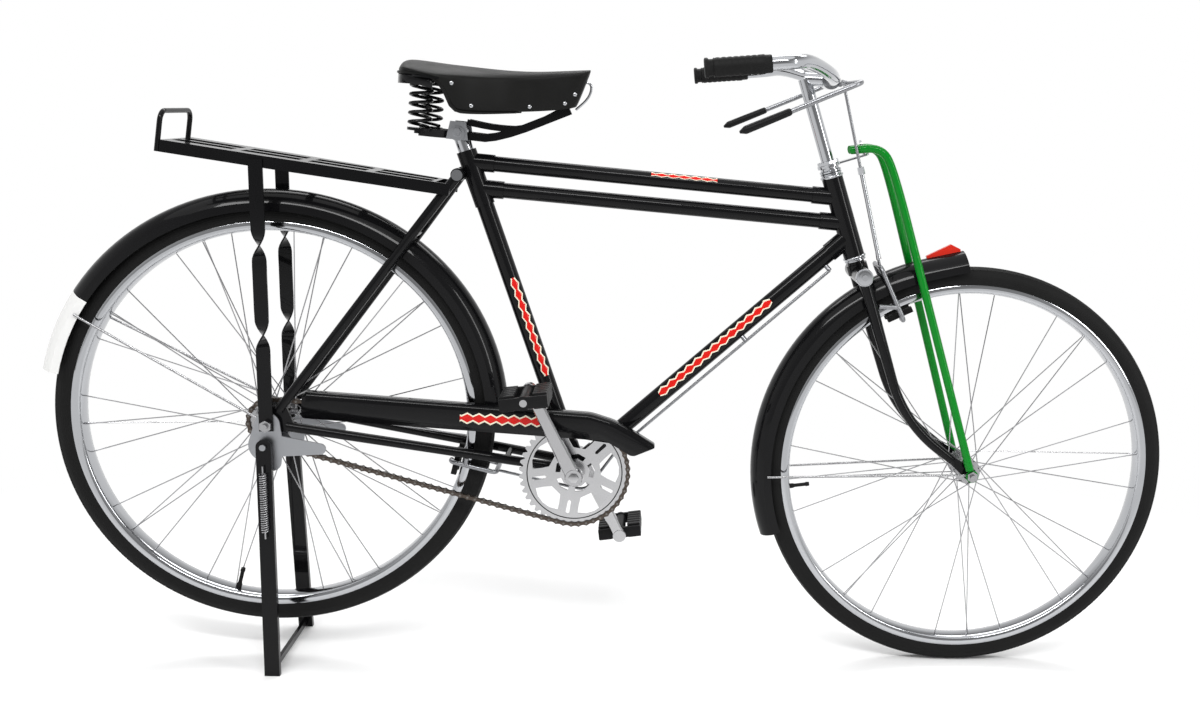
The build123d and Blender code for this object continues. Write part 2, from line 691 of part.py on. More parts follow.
def bar_points(hand):
    """The bends of one half of the handlebar, from the middle out to its end."""
    shoulder = spot(BAR_ALONG, BAR_HEIGHT, BAR_SHOULDER_SIDE * hand)
    corner = spot(BAR_ALONG - BAR_CORNER_BACK, BAR_CORNER_HEIGHT, BAR_CORNER_SIDE * hand)
    grip = spot(BAR_ALONG - BAR_REACH + GRIP_LENGTH, BAR_END_HEIGHT + BAR_GRIP_RISE, BAR_GRIP_SIDE * hand)
    end = spot(BAR_ALONG - BAR_REACH, BAR_END_HEIGHT, BAR_GRIP_SIDE * hand)
    return [shoulder, corner, grip, end]


with BuildPart() as handlebar:
    bent_bar(bar_points(1)[::-1] + bar_points(-1), BAR_RADIUS, BAR_BEND)
handlebar.part.label = "handlebar"
export_step(handlebar.part, "parts/handlebar.step")

with BuildPart() as stem:
    rod(LOCKNUT_TOP, steer(STEM_HEIGHT), STEM_RADIUS)
    rod(steer(STEM_HEIGHT), BAR_CENTRE, STEM_RADIUS)
    cross_rod(BAR_CENTRE, STEM_RADIUS * 2, BAR_RADIUS + LUG_WALL * 2)
    add(handlebar.part, mode=Mode.SUBTRACT)
stem.part.label = "stem"
export_step(stem.part, "parts/stem.step")

# Hand grips pushed over the bar ends
with BuildPart() as grips:
    for hand in OUTWARD:
        corner, inner, end = bar_points(hand)[1:]
        line = (end - inner).normalized()
        bend = BAR_BEND * tan(radians((inner - corner).get_angle(line)) / 2)
        rod(inner + line * bend, end + line * GRIP_CAP, GRIP_RADIUS)
    add(handlebar.part, mode=Mode.SUBTRACT)
grips.part.label = "grips"
export_step(grips.part, "parts/grips.step")

# Brake levers: each runs under a grip, turns in ahead of the bar and ends by the stem
LEVER_ALONG = BAR_ALONG + LEVER_FRONT
LEVER_HEIGHT = BAR_HEIGHT - LEVER_ROD_DROP


def lever_points(hand):
    """The bends of one brake lever from its free end."""
    end = spot(BAR_ALONG - LEVER_END_BACK, BAR_END_HEIGHT - LEVER_DROP, LEVER_SIDE * hand)
    elbow = spot(LEVER_ALONG, LEVER_HEIGHT, (LEVER_SIDE - LEVER_BEND) * hand)
    middle = spot(LEVER_ALONG, LEVER_HEIGHT, ROD_SIDE * hand)
    return [end, elbow, middle]


with BuildPart() as brake_levers:
    for hand in OUTWARD:
        bent_bar(lever_points(hand), LEVER_RADIUS, LEVER_BEND)
        held = spot(LEVER_ALONG, LEVER_HEIGHT, LEVER_LUG_SIDE * hand)
        share = LEVER_LUG_SIDE / BAR_SHOULDER_SIDE
        shoulder = bar_points(hand)[0]
        bar = BAR_CENTRE + (shoulder - BAR_CENTRE) * share
        rod(held, bar - (bar - held).normalized() * (BAR_RADIUS + FIT_GAP), LEVER_RADIUS)
brake_levers.part.label = "brake_levers"
export_step(brake_levers.part, "parts/brake_levers.step")

with BuildPart() as lever_sleeves:
    for hand in OUTWARD:
        end, elbow = lever_points(hand)[:2]
        line = (elbow - end).normalized()
        rod(end - line * LEVER_SLEEVE_RADIUS, end + line * LEVER_SLEEVE_LENGTH, LEVER_SLEEVE_RADIUS)
    add(brake_levers.part, mode=Mode.SUBTRACT)
lever_sleeves.part.label = "lever_sleeves"
export_step(lever_sleeves.part, "parts/lever_sleeves.step")

# Brake stirrups: a bow over the tyre whose two arms end in shoes inside the rim
SHOE_REACH = RIM_INNER_RADIUS - SHOE_CLEARANCE - SHOE_HEIGHT


def beside(centre, angle, reach, side, shift=0):
    """A point at a reach from an axle, turned by an angle, to one side and shifted round the rim."""
    turn = radians(angle)
    place = centre + Vector(cos(turn), sin(turn)) * reach + Vector(-sin(turn), cos(turn)) * shift
    return spot(place.X, place.Y, side)


def stirrup(centre, angle, bow, side):
    """The bow and the two arms of a brake stirrup."""
    arm = SHOE_REACH - STIRRUP_RADIUS - FIT_GAP
    ends = [beside(centre, angle, arm, SHOE_SIDE * hand) for hand in OUTWARD]
    feet = [beside(centre, angle, arm, side * hand) for hand in OUTWARD]
    tops = [beside(centre, angle, bow, side * hand) for hand in OUTWARD]
    bent_bar([ends[0], feet[0], tops[0], tops[1], feet[1], ends[1]], STIRRUP_RADIUS, STIRRUP_BEND)


def shoes(centre, angle):
    """Two brake shoes under the rim."""
    turn = radians(angle) - PITCH
    for hand in OUTWARD:
        seat = beside(centre, angle, SHOE_REACH, SHOE_SIDE * hand)
        block = Plane(origin=seat, x_dir=(-sin(turn), 0, cos(turn)), z_dir=(cos(turn), 0, sin(turn)))
        with BuildSketch(block) as shoe:
            Rectangle(SHOE_LENGTH, SHOE_WIDTH)
        extrude(shoe.sketch, amount=SHOE_HEIGHT)


FRONT_CENTRE = Vector(0, 0)
FRONT_BOW = MUDGUARD_RADIUS + STIRRUP_RADIUS + STIRRUP_RISE
with BuildPart() as front_brake:
    stirrup(FRONT_CENTRE, FRONT_SHOE_ANGLE, FRONT_BOW, STIRRUP_HALF)
    yoke = beside(FRONT_CENTRE, FRONT_SHOE_ANGLE, FRONT_BOW, -ROD_SIDE)
    knuckle = spot(LEVER_ALONG, LEVER_HEIGHT - LEVER_RADIUS - FIT_GAP, -ROD_SIDE - LEVER_RADIUS)
    rod(yoke, knuckle, ROD_RADIUS)
    for hand in OUTWARD:
        guide = beside(FRONT_CENTRE, FRONT_SHOE_ANGLE, FRONT_GUIDE_REACH, STIRRUP_HALF * hand)
        height = FRONT_GUIDE_REACH * sin(radians(FRONT_SHOE_ANGLE))
        blade = spot(head_at(height), height, BLADE_SIDE * hand)
        line = (blade - guide).normalized()
        rod(guide, blade - line * (BLADE_TOP_RADIUS + LUG_WALL + FIT_GAP), ROD_CLIP_RADIUS)
front_brake.part.label = "front_brake"
export_step(front_brake.part, "parts/front_brake.step")

with BuildPart() as front_shoes:
    shoes(FRONT_CENTRE, FRONT_SHOE_ANGLE)
front_shoes.part.label = "front_shoes"
export_step(front_shoes.part, "parts/front_shoes.step")

# Rear brake: a rod under the down tube, round the bottom bracket and back to the stirrup
DOWN_AHEAD = Vector(DOWN_LINE.Z, 0, -DOWN_LINE.X)
REAR_BOW = TYRE_RADIUS + STIRRUP_RADIUS + STIRRUP_RISE
with BuildPart() as rear_brake:
    stirrup(REAR, REAR_SHOE_ANGLE, REAR_BOW, REAR_STIRRUP_HALF)
    aside = Vector(0, -REAR_ROD_SIDE, 0) + DOWN_AHEAD * REAR_ROD_BELOW
    start = DOWN_TUBE_TOP - DOWN_LINE * REAR_ROD_TOP + aside
    elbow = BRACKET_CENTRE + DOWN_LINE * REAR_ROD_ELBOW + aside
    under = spot(BRACKET.X + SHELL_RADIUS, BRACKET.Y - SHELL_RADIUS - REAR_ROD_UNDER, -REAR_ROD_SIDE)
    yoke = beside(REAR, REAR_SHOE_ANGLE, REAR_BOW, -REAR_ROD_SIDE)
    bent_bar([start, elbow, under, yoke], ROD_RADIUS, REAR_ROD_BELOW)
    for share in (REAR_ROD_TOP, REAR_ROD_TOP * 4):
        place = DOWN_TUBE_TOP - DOWN_LINE * share
        hold = place + aside.normalized() * (MAIN_TUBE_RADIUS + FIT_GAP)
        rod(hold, place + aside, ROD_CLIP_RADIUS)
    for hand in OUTWARD:
        grip = beside(REAR, REAR_SHOE_ANGLE, REAR_GUIDE_REACH, REAR_STIRRUP_HALF * hand)
        share = (REAR_GUIDE_REACH - DROPOUT_REACH) / (STAY_WAIST_REACH - DROPOUT_REACH)
        stay_side = STAY_REAR_SIDE + (CHAINSTAY_WAIST_SIDE - STAY_REAR_SIDE) * share
        stay = on_stay(REAR_GUIDE_REACH, stay_side * hand)
        line = (stay - grip).normalized()
        rod(grip, stay - line * (STAY_RADIUS + FIT_GAP * 2), ROD_CLIP_RADIUS)
rear_brake.part.label = "rear_brake"
export_step(rear_brake.part, "parts/rear_brake.step")

with BuildPart() as rear_shoes:
    shoes(REAR, REAR_SHOE_ANGLE)
rear_shoes.part.label = "rear_shoes"
export_step(rear_shoes.part, "parts/rear_shoes.step")


def mudguard(axle, start, end, nose=0):
    """A mudguard of bent sheet round a wheel between two angles, with a straight nose ahead of it."""
    half = MUDGUARD_WIDTH / 2
    inner_half = half - MUDGUARD_SHEET
    turn = radians(start) - PITCH
    face = Plane(origin=axle, x_dir=(cos(turn), 0, sin(turn)), z_dir=(-sin(turn), 0, cos(turn)))
    with BuildSketch(face) as section:
        with BuildLine():
            crown = ThreePointArc((MUDGUARD_CHEEK, half), (MUDGUARD_RADIUS, 0), (MUDGUARD_CHEEK, -half))
            hollow = ThreePointArc((MUDGUARD_CHEEK, -inner_half), (MUDGUARD_RADIUS - MUDGUARD_SHEET, 0),
                                   (MUDGUARD_CHEEK, inner_half))
            Polyline(crown @ 1, (MUDGUARD_SKIRT, -half), (MUDGUARD_SKIRT, -inner_half), hollow @ 0)
            Polyline(hollow @ 1, (MUDGUARD_SKIRT, inner_half), (MUDGUARD_SKIRT, half), crown @ 0)
        make_face()
    revolve(section.sketch, axis=Axis(axle, (0, -1, 0)), revolution_arc=end - start)
    if nose:
        extrude(section.sketch, amount=-nose)


with BuildPart() as front_mudguard:
    mudguard(FRONT_AXLE, FRONT_MUDGUARD_START, FRONT_MUDGUARD_END, FRONT_NOSE_LENGTH)
front_mudguard.part.label = "front_mudguard"
export_step(front_mudguard.part, "parts/front_mudguard.step")

with BuildPart() as rear_mudguard:
    mudguard(REAR_AXLE, REAR_MUDGUARD_START, REAR_MUDGUARD_END)
rear_mudguard.part.label = "rear_mudguard"
export_step(rear_mudguard.part, "parts/rear_mudguard.step")


def wire_stay(centre, angle, eye_side):
    """Two wires from eyes on an axle out to the mudguard's skirts."""
    turn = radians(angle)
    reach = Vector(cos(turn), sin(turn))
    skirt = MUDGUARD_WIDTH / 2 + FIT_GAP + MUDGUARD_STAY_RADIUS
    middle = (MUDGUARD_SKIRT + MUDGUARD_CHEEK) / 2
    for hand in OUTWARD:
        near = centre + reach * (STAY_EYE_RADIUS - MUDGUARD_STAY_RADIUS)
        far = centre + reach * middle
        start = spot(near.X, near.Y, (eye_side + STAY_EYE / 2) * hand)
        rod(start, spot(far.X, far.Y, skirt * hand), MUDGUARD_STAY_RADIUS)
        link_plate([(centre.X, centre.Y, STAY_EYE_RADIUS)], hand, eye_side, eye_side + STAY_EYE)


# Wire stays of both mudguards, with eyes on the axles
FRONT_STAY_SIDE = FORK_SIDE + END_PLATE + FIT_GAP
with BuildPart() as front_mudguard_stays:
    wire_stay(Vector(0, 0), FRONT_MUDGUARD_STAY_ANGLE, FRONT_STAY_SIDE)
    cross_rod(FRONT_AXLE, BLADE_SIDE * 2, AXLE_RADIUS + FIT_GAP, Mode.SUBTRACT)
front_mudguard_stays.part.label = "front_mudguard_stays"
export_step(front_mudguard_stays.part, "parts/front_mudguard_stays.step")

REAR_STAY_SIDE = DROPOUT_SIDE + END_PLATE + FIT_GAP
with BuildPart() as rear_mudguard_stays:
    wire_stay(REAR, REAR_MUDGUARD_STAY_ANGLE, REAR_STAY_SIDE)
    cross_rod(REAR_AXLE, STAY_REAR_SIDE * 2, AXLE_RADIUS + FIT_GAP, Mode.SUBTRACT)
rear_mudguard_stays.part.label = "rear_mudguard_stays"
export_step(rear_mudguard_stays.part, "parts/rear_mudguard_stays.step")

# Fin ornament on the nose of the front mudguard
with BuildPart() as mudguard_ornament:
    turn = radians(FRONT_MUDGUARD_START)
    run = Vector(sin(turn), -cos(turn))
    lift = Vector(cos(turn), sin(turn))
    foot = lift * (MUDGUARD_RADIUS + FIT_GAP)
    front = foot + run * ORNAMENT_LENGTH
    points = [foot, front, front + lift * ORNAMENT_BASE]
    points.append(foot + run * ORNAMENT_TIP + lift * ORNAMENT_HEIGHT)
    points.append(foot + lift * ORNAMENT_BASE)
    plate([(point.X, point.Y) for point in points], 1, -ORNAMENT_HALF, ORNAMENT_HALF)
mudguard_ornament.part.label = "mudguard_ornament"
export_step(mudguard_ornament.part, "parts/mudguard_ornament.step")

# Fork support stays from the head down to the front axle
SUPPORT_EYE_SIDE = FRONT_STAY_SIDE + STAY_EYE + FIT_GAP
with BuildPart() as fork_supports:
    for hand in OUTWARD:
        inside = SUPPORT_EYE_SIDE + SUPPORT_FLAT / 2
        rest = LAMP_PLATE + SUPPORT_RADIUS + SUPPORT_LIFT
        top_place = Vector(LAMP_REACH - SUPPORT_TOP_BACK, SUPPORT_TOP_SIDE * hand, rest)
        top = LAMP_PLANE.from_local_coords(top_place)
        knee = spot(-SUPPORT_KNEE_BACK, SUPPORT_KNEE_HEIGHT, SUPPORT_KNEE_SIDE * hand)
        low = spot(-SUPPORT_EYE / 2, SUPPORT_EYE, inside * hand)
        bent_bar([top, knee, low], SUPPORT_RADIUS, SUPPORT_BEND)
        plate([(-SUPPORT_EYE * 3, SUPPORT_EYE * 2), (SUPPORT_EYE * 3, SUPPORT_EYE * 2),
               (SUPPORT_EYE * 3, -SUPPORT_EYE), (-SUPPORT_EYE * 3, -SUPPORT_EYE)],
              hand, 0, SUPPORT_EYE_SIDE, Mode.SUBTRACT)
        link_plate([(0, 0, SUPPORT_EYE), (-SUPPORT_EYE / 2, SUPPORT_EYE * 2, SUPPORT_RADIUS)],
                   hand, SUPPORT_EYE_SIDE, SUPPORT_EYE_SIDE + SUPPORT_FLAT)
    cross_rod(FRONT_AXLE, BLADE_SIDE * 2, AXLE_RADIUS + FIT_GAP, Mode.SUBTRACT)
fork_supports.part.label = "fork_supports"
export_step(fork_supports.part, "parts/fork_supports.step")


def axle_set(centre, hub_half, stack):
    """An axle with its cones inside the frame ends and its nuts outside the stack."""
    cross_rod(centre, stack + NUT_LENGTH + AXLE_STUB, AXLE_RADIUS)
    for hand in OUTWARD:
        inner = centre + Vector(0, (hub_half + RUNNING_GAP) * hand, 0)
        rod(inner, inner + Vector(0, (CONE_LENGTH - RUNNING_GAP - FIT_GAP) * hand, 0), CONE_RADIUS)
        nut = Plane(origin=centre + Vector(0, (stack + FIT_GAP) * hand, 0), z_dir=(0, hand, 0))
        with BuildSketch(nut) as hexagon:
            RegularPolygon(NUT_FLATS / 2, 6, major_radius=False)
        extrude(hexagon.sketch, amount=NUT_LENGTH)


# Front axle and rear axle with cones and nuts
FRONT_STACK = SUPPORT_EYE_SIDE + SUPPORT_FLAT
with BuildPart() as front_axle:
    axle_set(FRONT_AXLE, FRONT_HUB_HALF, FRONT_STACK)
front_axle.part.label = "front_axle"
export_step(front_axle.part, "parts/front_axle.step")

BRACKET_SIDE = REAR_STAY_SIDE + STAY_EYE + FIT_GAP
STRUT_SIDE = BRACKET_SIDE + BRACKET_PLATE + FIT_GAP
REAR_STACK = STRUT_SIDE + STRUT_PLATE
with BuildPart() as rear_axle:
    axle_set(REAR_AXLE, REAR_HUB_HALF, REAR_STACK)
rear_axle.part.label = "rear_axle"
export_step(rear_axle.part, "parts/rear_axle.step")

# Tyres and rims
TYRE_HALF_RING = [(BEAD_RADIUS, BEAD_HALF), (WALL_RADIUS, TYRE_WIDTH / 2)]
TYRE_HALF_RING += [(TYRE_RADIUS - SHOULDER_DROP, SHOULDER_HALF), (TYRE_RADIUS, TREAD_HALF)]
TYRE_RING = TYRE_HALF_RING + [(radius, -side) for radius, side in reversed(TYRE_HALF_RING)]
RIM_HALF_RING = [(RIM_INNER_RADIUS, RIM_TROUGH_HALF), (RIM_SIDE_RADIUS, RIM_WIDTH / 2)]
RIM_HALF_RING += [(RIM_LIP_RADIUS, RIM_WIDTH / 2), (BEAD_RADIUS - FIT_GAP, RIM_WELL_HALF)]
RIM_RING = RIM_HALF_RING + [(radius, -side) for radius, side in reversed(RIM_HALF_RING)]

with BuildPart() as front_tyre:
    turned(FRONT_AXLE, TYRE_RING)
front_tyre.part.label = "front_tyre"
export_step(front_tyre.part, "parts/front_tyre.step")

with BuildPart() as rear_tyre:
    turned(REAR_AXLE, TYRE_RING)
rear_tyre.part.label = "rear_tyre"
export_step(rear_tyre.part, "parts/rear_tyre.step")

with BuildPart() as front_rim:
    turned(FRONT_AXLE, RIM_RING)
front_rim.part.label = "front_rim"
export_step(front_rim.part, "parts/front_rim.step")

with BuildPart() as rear_rim:
    turned(REAR_AXLE, RIM_RING)
rear_rim.part.label = "rear_rim"
export_step(rear_rim.part, "parts/rear_rim.step")


def hub_ring(flange, half_length, bore):
    """The outline of a hub with two flanges."""
    ring = [(bore, half_length), (HUB_BARREL_RADIUS, half_length)]
    ring += [(HUB_BARREL_RADIUS, flange + HUB_FLANGE_THICK), (HUB_FLANGE_RADIUS, flange + HUB_FLANGE_THICK)]
    ring += [(HUB_FLANGE_RADIUS, flange), (HUB_BARREL_RADIUS, flange)]
    return ring + [(radius, -side) for radius, side in reversed(ring)]


def lacing(axle, count, flange):
    """Crossed spokes from both flanges out to the rim."""
    pairs = count // 4
    outside = HUB_FLANGE_THICK + SPOKE_RADIUS + FIT_GAP * 4
    for hand in OUTWARD:
        for pair in range(pairs):
            base = (pair + (1 + hand) / 8) * 2 * pi / pairs
            for lean, lift, foot in ((1, outside, 1), (-1, -SPOKE_RADIUS - FIT_GAP, 1 / 2)):
                root = base + lean * (radians(SPOKE_CROSS) - pi / pairs / 4)
                tip = base - lean * pi / pairs / 4
                inner = Vector(cos(root), 0, sin(root)) * (HUB_FLANGE_RADIUS - LUG_WALL)
                outer = Vector(cos(tip), 0, sin(tip)) * (RIM_INNER_RADIUS - FIT_GAP)
                start = axle + inner + Vector(0, (flange + lift) * hand, 0)
                end = axle + outer + Vector(0, SPOKE_RIM_HALF * foot * hand, 0)
                with BuildSketch(Plane(origin=start, z_dir=end - start)) as wire:
                    RegularPolygon(SPOKE_RADIUS, 6)
                extrude(wire.sketch, amount=(end - start).length)


# Spokes laced across each other
with BuildPart() as front_spokes:
    lacing(FRONT_AXLE, FRONT_SPOKES, FRONT_FLANGE_HALF)
front_spokes.part.label = "front_spokes"
export_step(front_spokes.part, "parts/front_spokes.step")

with BuildPart() as rear_spokes:
    lacing(REAR_AXLE, REAR_SPOKES, REAR_FLANGE_HALF)
rear_spokes.part.label = "rear_spokes"
export_step(rear_spokes.part, "parts/rear_spokes.step")

# Hubs that turn on the axles, the rear one with a seat for the freewheel
FREEWHEEL_INNER = CHAIN_LINE - FREEWHEEL_WIDTH / 2
with BuildPart() as front_hub:
    turned(FRONT_AXLE, hub_ring(FRONT_FLANGE_HALF, FRONT_HUB_HALF, AXLE_RADIUS + RUNNING_GAP))
front_hub.part.label = "front_hub"
export_step(front_hub.part, "parts/front_hub.step")

with BuildPart() as rear_hub:
    turned(REAR_AXLE, hub_ring(REAR_FLANGE_HALF, REAR_HUB_HALF, AXLE_RADIUS + RUNNING_GAP))
    seat = REAR_AXLE - Vector(0, REAR_FLANGE_HALF + HUB_FLANGE_THICK, 0)
    rod(seat, REAR_AXLE - Vector(0, CHAIN_LINE + FREEWHEEL_WIDTH / 2, 0), FREEWHEEL_SEAT_RADIUS)
    cross_rod(REAR_AXLE, REAR_HUB_HALF, AXLE_RADIUS + RUNNING_GAP, Mode.SUBTRACT)
rear_hub.part.label = "rear_hub"
export_step(rear_hub.part, "parts/rear_hub.step")


def toothed(centre, teeth, radius, turn):
    """The outline of a sprocket, four corners to a tooth, as places in its own plane."""
    points = []
    for tooth in range(teeth):
        for share, rise in ((-3, -TOOTH_ROOT), (-1, TOOTH_RISE), (1, TOOTH_RISE), (3, -TOOTH_ROOT)):
            angle = turn + (tooth + share / 10) * 2 * pi / teeth
            reach = radius + rise
            points.append((centre.X + reach * cos(angle), centre.Y + reach * sin(angle)))
    return points


# Freewheel: a toothed sprocket on a drum
with BuildPart() as freewheel:
    plate(toothed(REAR, SPROCKET_TEETH, SPROCKET_RADIUS, 0), -1,
          CHAIN_LINE - TOOTH_THICK / 2, CHAIN_LINE + TOOTH_THICK / 2)
    drum = REAR_AXLE - Vector(0, FREEWHEEL_INNER, 0)
    rod(drum, drum - Vector(0, FREEWHEEL_WIDTH, 0), FREEWHEEL_RADIUS)
    cross_rod(REAR_AXLE, REAR_HUB_HALF * 2, FREEWHEEL_SEAT_RADIUS + RUNNING_GAP, Mode.SUBTRACT)
freewheel.part.label = "freewheel"
export_step(freewheel.part, "parts/freewheel.step")

# Chainring with a slot along each arm
with BuildPart() as chainring:
    plate(toothed(BRACKET, RING_TEETH, RING_RADIUS, pi / RING_TEETH), -1,
          CHAIN_LINE - TOOTH_THICK / 2, CHAIN_LINE + TOOTH_THICK / 2)
    with BuildSketch(flank(-CHAIN_LINE + TOOTH_THICK)) as slots:
        with Locations((BRACKET.X, BRACKET.Y)):
            with PolarLocations(RING_SLOT_REACH, RING_WINDOWS, start_angle=180 / RING_WINDOWS):
                SlotOverall(RING_SLOT_LENGTH, RING_SLOT_WIDTH)
    extrude(slots.sketch, amount=TOOTH_THICK * 2, mode=Mode.SUBTRACT)
    cross_rod(BRACKET_CENTRE, CHAIN_LINE * 2, CRANK_AXLE_RADIUS + FIT_GAP, Mode.SUBTRACT)
chainring.part.label = "chainring"
export_step(chainring.part, "parts/chainring.step")

# Chain: two rows of side plates in four lengths, two straight and two round the sprockets
CHAIN_SLOPE = asin((RING_RADIUS - SPROCKET_RADIUS) / CHAINSTAY)
STAY_TURN = atan2(-STAY_RUN.Y, -STAY_RUN.X)


def chain_strip(points, normals, first_high):
    """One row of side plates from the pin places along it, scalloped on both edges."""
    upper = []
    lower = []
    for number, (point, normal) in enumerate(zip(points, normals)):
        half = CHAIN_HALF_HEIGHT if number % 2 == first_high else CHAIN_WAIST
        upper.append(point + normal * half)
        lower.append(point - normal * half)
    outline = [(place.X, place.Y) for place in upper + lower[::-1]]
    for inner in (CHAIN_LINE - CHAIN_INNER_HALF - CHAIN_PLATE, CHAIN_LINE + CHAIN_INNER_HALF):
        plate(outline, -1, inner, inner + CHAIN_PLATE)


def chain_wrap(centre, radius, start, end):
    """The chain round a sprocket between two angles."""
    steps = 2 * round((end - start) * radius / CHAIN_PITCH / 2)
    points = []
    normals = []
    for step in range(steps + 1):
        angle = start + (end - start) * step / steps
        normals.append(Vector(cos(angle), sin(angle)))
        points.append(centre + normals[-1] * radius)
    chain_strip(points, normals, 0)


def chain_run(start, end, normal):
    """A straight length of chain between the sprockets."""
    steps = 2 * round((end - start).length / CHAIN_PITCH / 2)
    points = [start + (end - start) * step / steps for step in range(steps + 1)]
    chain_strip(points, [normal] * (steps + 1), 0)


with BuildPart() as chain:
    top = STAY_TURN + pi / 2 + CHAIN_SLOPE
    low = STAY_TURN - pi / 2 - CHAIN_SLOPE
    gap = FIT_GAP / SPROCKET_RADIUS
    chain_wrap(BRACKET, RING_RADIUS, low + gap, top - gap)
    chain_wrap(REAR, SPROCKET_RADIUS, top + gap, low + 2 * pi - gap)
    for turn in (top, low):
        normal = Vector(cos(turn), sin(turn))
        chain_run(REAR + normal * SPROCKET_RADIUS, BRACKET + normal * RING_RADIUS, normal)
chain.part.label = "chain"
export_step(chain.part, "parts/chain.step")

# Cranks on their axle, with the pedal spindles
CRANK_TURN = radians(CRANK_ANGLE) + PITCH
CRANK_RUN = Vector(cos(CRANK_TURN), sin(CRANK_TURN))
CRANK_OUTSIDE = CRANK_INSIDE + CRANK_THICK
RING_FACE = CHAIN_LINE + TOOTH_THICK / 2
with BuildPart() as cranks:
    cross_rod(BRACKET_CENTRE, CRANK_OUTSIDE, CRANK_AXLE_RADIUS)
    for hand in OUTWARD:
        eye = BRACKET - CRANK_RUN * CRANK_LENGTH * hand
        link_plate([(BRACKET.X, BRACKET.Y, CRANK_BOSS_RADIUS), (eye.X, eye.Y, CRANK_EYE_RADIUS)],
                   hand, CRANK_INSIDE, CRANK_OUTSIDE)
        spindle = spot(eye.X, eye.Y, CRANK_OUTSIDE * hand)
        rod(spindle, spindle + Vector(0, (PEDAL_WIDTH + PEDAL_GAP) * hand, 0), PEDAL_AXLE_RADIUS)
        boss = BRACKET_CENTRE + Vector(0, RING_FACE * hand, 0)
        rod(boss, BRACKET_CENTRE + Vector(0, CRANK_INSIDE * hand, 0), CRANK_BOSS_RADIUS)
cranks.part.label = "cranks"
export_step(cranks.part, "parts/cranks.step")


def pedal(hand):
    """A block pedal round its spindle: two treads, two ends and a tube."""
    eye = BRACKET - CRANK_RUN * CRANK_LENGTH * hand
    inner = CRANK_OUTSIDE + PEDAL_GAP
    outer = inner + PEDAL_WIDTH
    half = PEDAL_LENGTH / 2
    tall = PEDAL_HEIGHT / 2
    tilt = radians(PEDAL_TILT)
    along = Vector(cos(tilt), sin(tilt))
    lift = Vector(-sin(tilt), cos(tilt)) * tall
    blocks = [(-half, PEDAL_TREAD - half, inner, outer), (half - PEDAL_TREAD, half, inner, outer)]
    blocks += [(-half, half, inner, inner + PEDAL_END), (-half, half, outer - PEDAL_END, outer)]
    for start, end, near, far in blocks:
        corners = [eye + along * start - lift, eye + along * end - lift]
        corners += [eye + along * end + lift, eye + along * start + lift]
        plate([(corner.X, corner.Y) for corner in corners], hand, near, far)
    centre = spot(eye.X, eye.Y)
    rod(centre + Vector(0, inner * hand, 0), centre + Vector(0, outer * hand, 0), PEDAL_TUBE_RADIUS)
    rod(centre, centre + Vector(0, outer * 2 * hand, 0), PEDAL_AXLE_RADIUS + RUNNING_GAP, Mode.SUBTRACT)


# Pedals
with BuildPart() as left_pedal:
    pedal(1)
left_pedal.part.label = "left_pedal"
export_step(left_pedal.part, "parts/left_pedal.step")

with BuildPart() as right_pedal:
    pedal(-1)
right_pedal.part.label = "right_pedal"
export_step(right_pedal.part, "parts/right_pedal.step")

# Chain case over the upper run, open below and to the wheel
with BuildPart() as chain_case:
    rear = REAR.X + CASE_REAR
    top = [(rear, CASE_TOP), (BRACKET.X + CASE_SHOULDER_AHEAD, CASE_TOP)]
    top.append((BRACKET.X + CASE_NOSE_AHEAD, BRACKET.Y + CASE_NOSE_HEIGHT))
    bottom = [(BRACKET.X + CASE_CHIN_AHEAD, BRACKET.Y + CASE_CHIN_HEIGHT)]
    bottom += [(BRACKET.X + CASE_MOUTH_AHEAD, CASE_BOTTOM), (rear, CASE_BOTTOM)]
    plate(top + bottom, -1, CASE_INSIDE, CASE_OUTSIDE, corner=CASE_CORNER / 2)
    hollow = [(along, up - CASE_WALL) for along, up in top]
    hollow += [(along, up - CASE_TOP) for along, up in bottom]
    plate(hollow, -1, CASE_INSIDE, CASE_OUTSIDE - CASE_WALL, Mode.SUBTRACT)
    tube = seat_at(CASE_TOP)
    plate([(tube - CASE_CORNER, CASE_TOP), (tube + CASE_CORNER, CASE_TOP),
           (tube + CASE_CORNER, CASE_TOP - CASE_WALL), (tube - CASE_CORNER, CASE_TOP - CASE_WALL)],
          -1, MAIN_TUBE_RADIUS + FIT_GAP, CASE_INSIDE)
chain_case.part.label = "chain_case"
export_step(chain_case.part, "parts/chain_case.step")

# Carrier: a slatted platform with edge flanges, a rear hoop and struts down to the axle
CARRIER_START = REAR.X - CARRIER_REAR
CARRIER_END = REAR.X + CARRIER_FRONT
CARRIER_RUN = (spot(CARRIER_END, CARRIER_FRONT_HEIGHT) - spot(CARRIER_START, CARRIER_REAR_HEIGHT))
CARRIER_LENGTH = CARRIER_RUN.length
CARRIER_HALF = STRUT_SIDE - FIT_GAP
CLAMP_REACH = hypot(CARRIER_FRONT, CARRIER_FRONT_HEIGHT)
CLAMP_SHARE = (CLAMP_REACH - STAY_WAIST_REACH) / (SEATSTAY_LENGTH - STAY_WAIST_REACH)
CLAMP_SIDE = STAY_WAIST_SIDE + (SEAT_EAR_HALF + STAY_RADIUS - STAY_WAIST_SIDE) * CLAMP_SHARE
CARRIER_FRONT_HALF = CLAMP_SIDE + STAY_RADIUS + LUG_WALL * 2 + FIT_GAP + CARRIER_PLATE
DECK = Plane(
    origin=spot(CARRIER_START, CARRIER_REAR_HEIGHT),
    x_dir=CARRIER_RUN,
    z_dir=CARRIER_RUN.cross(Vector(0, 1, 0)),
)
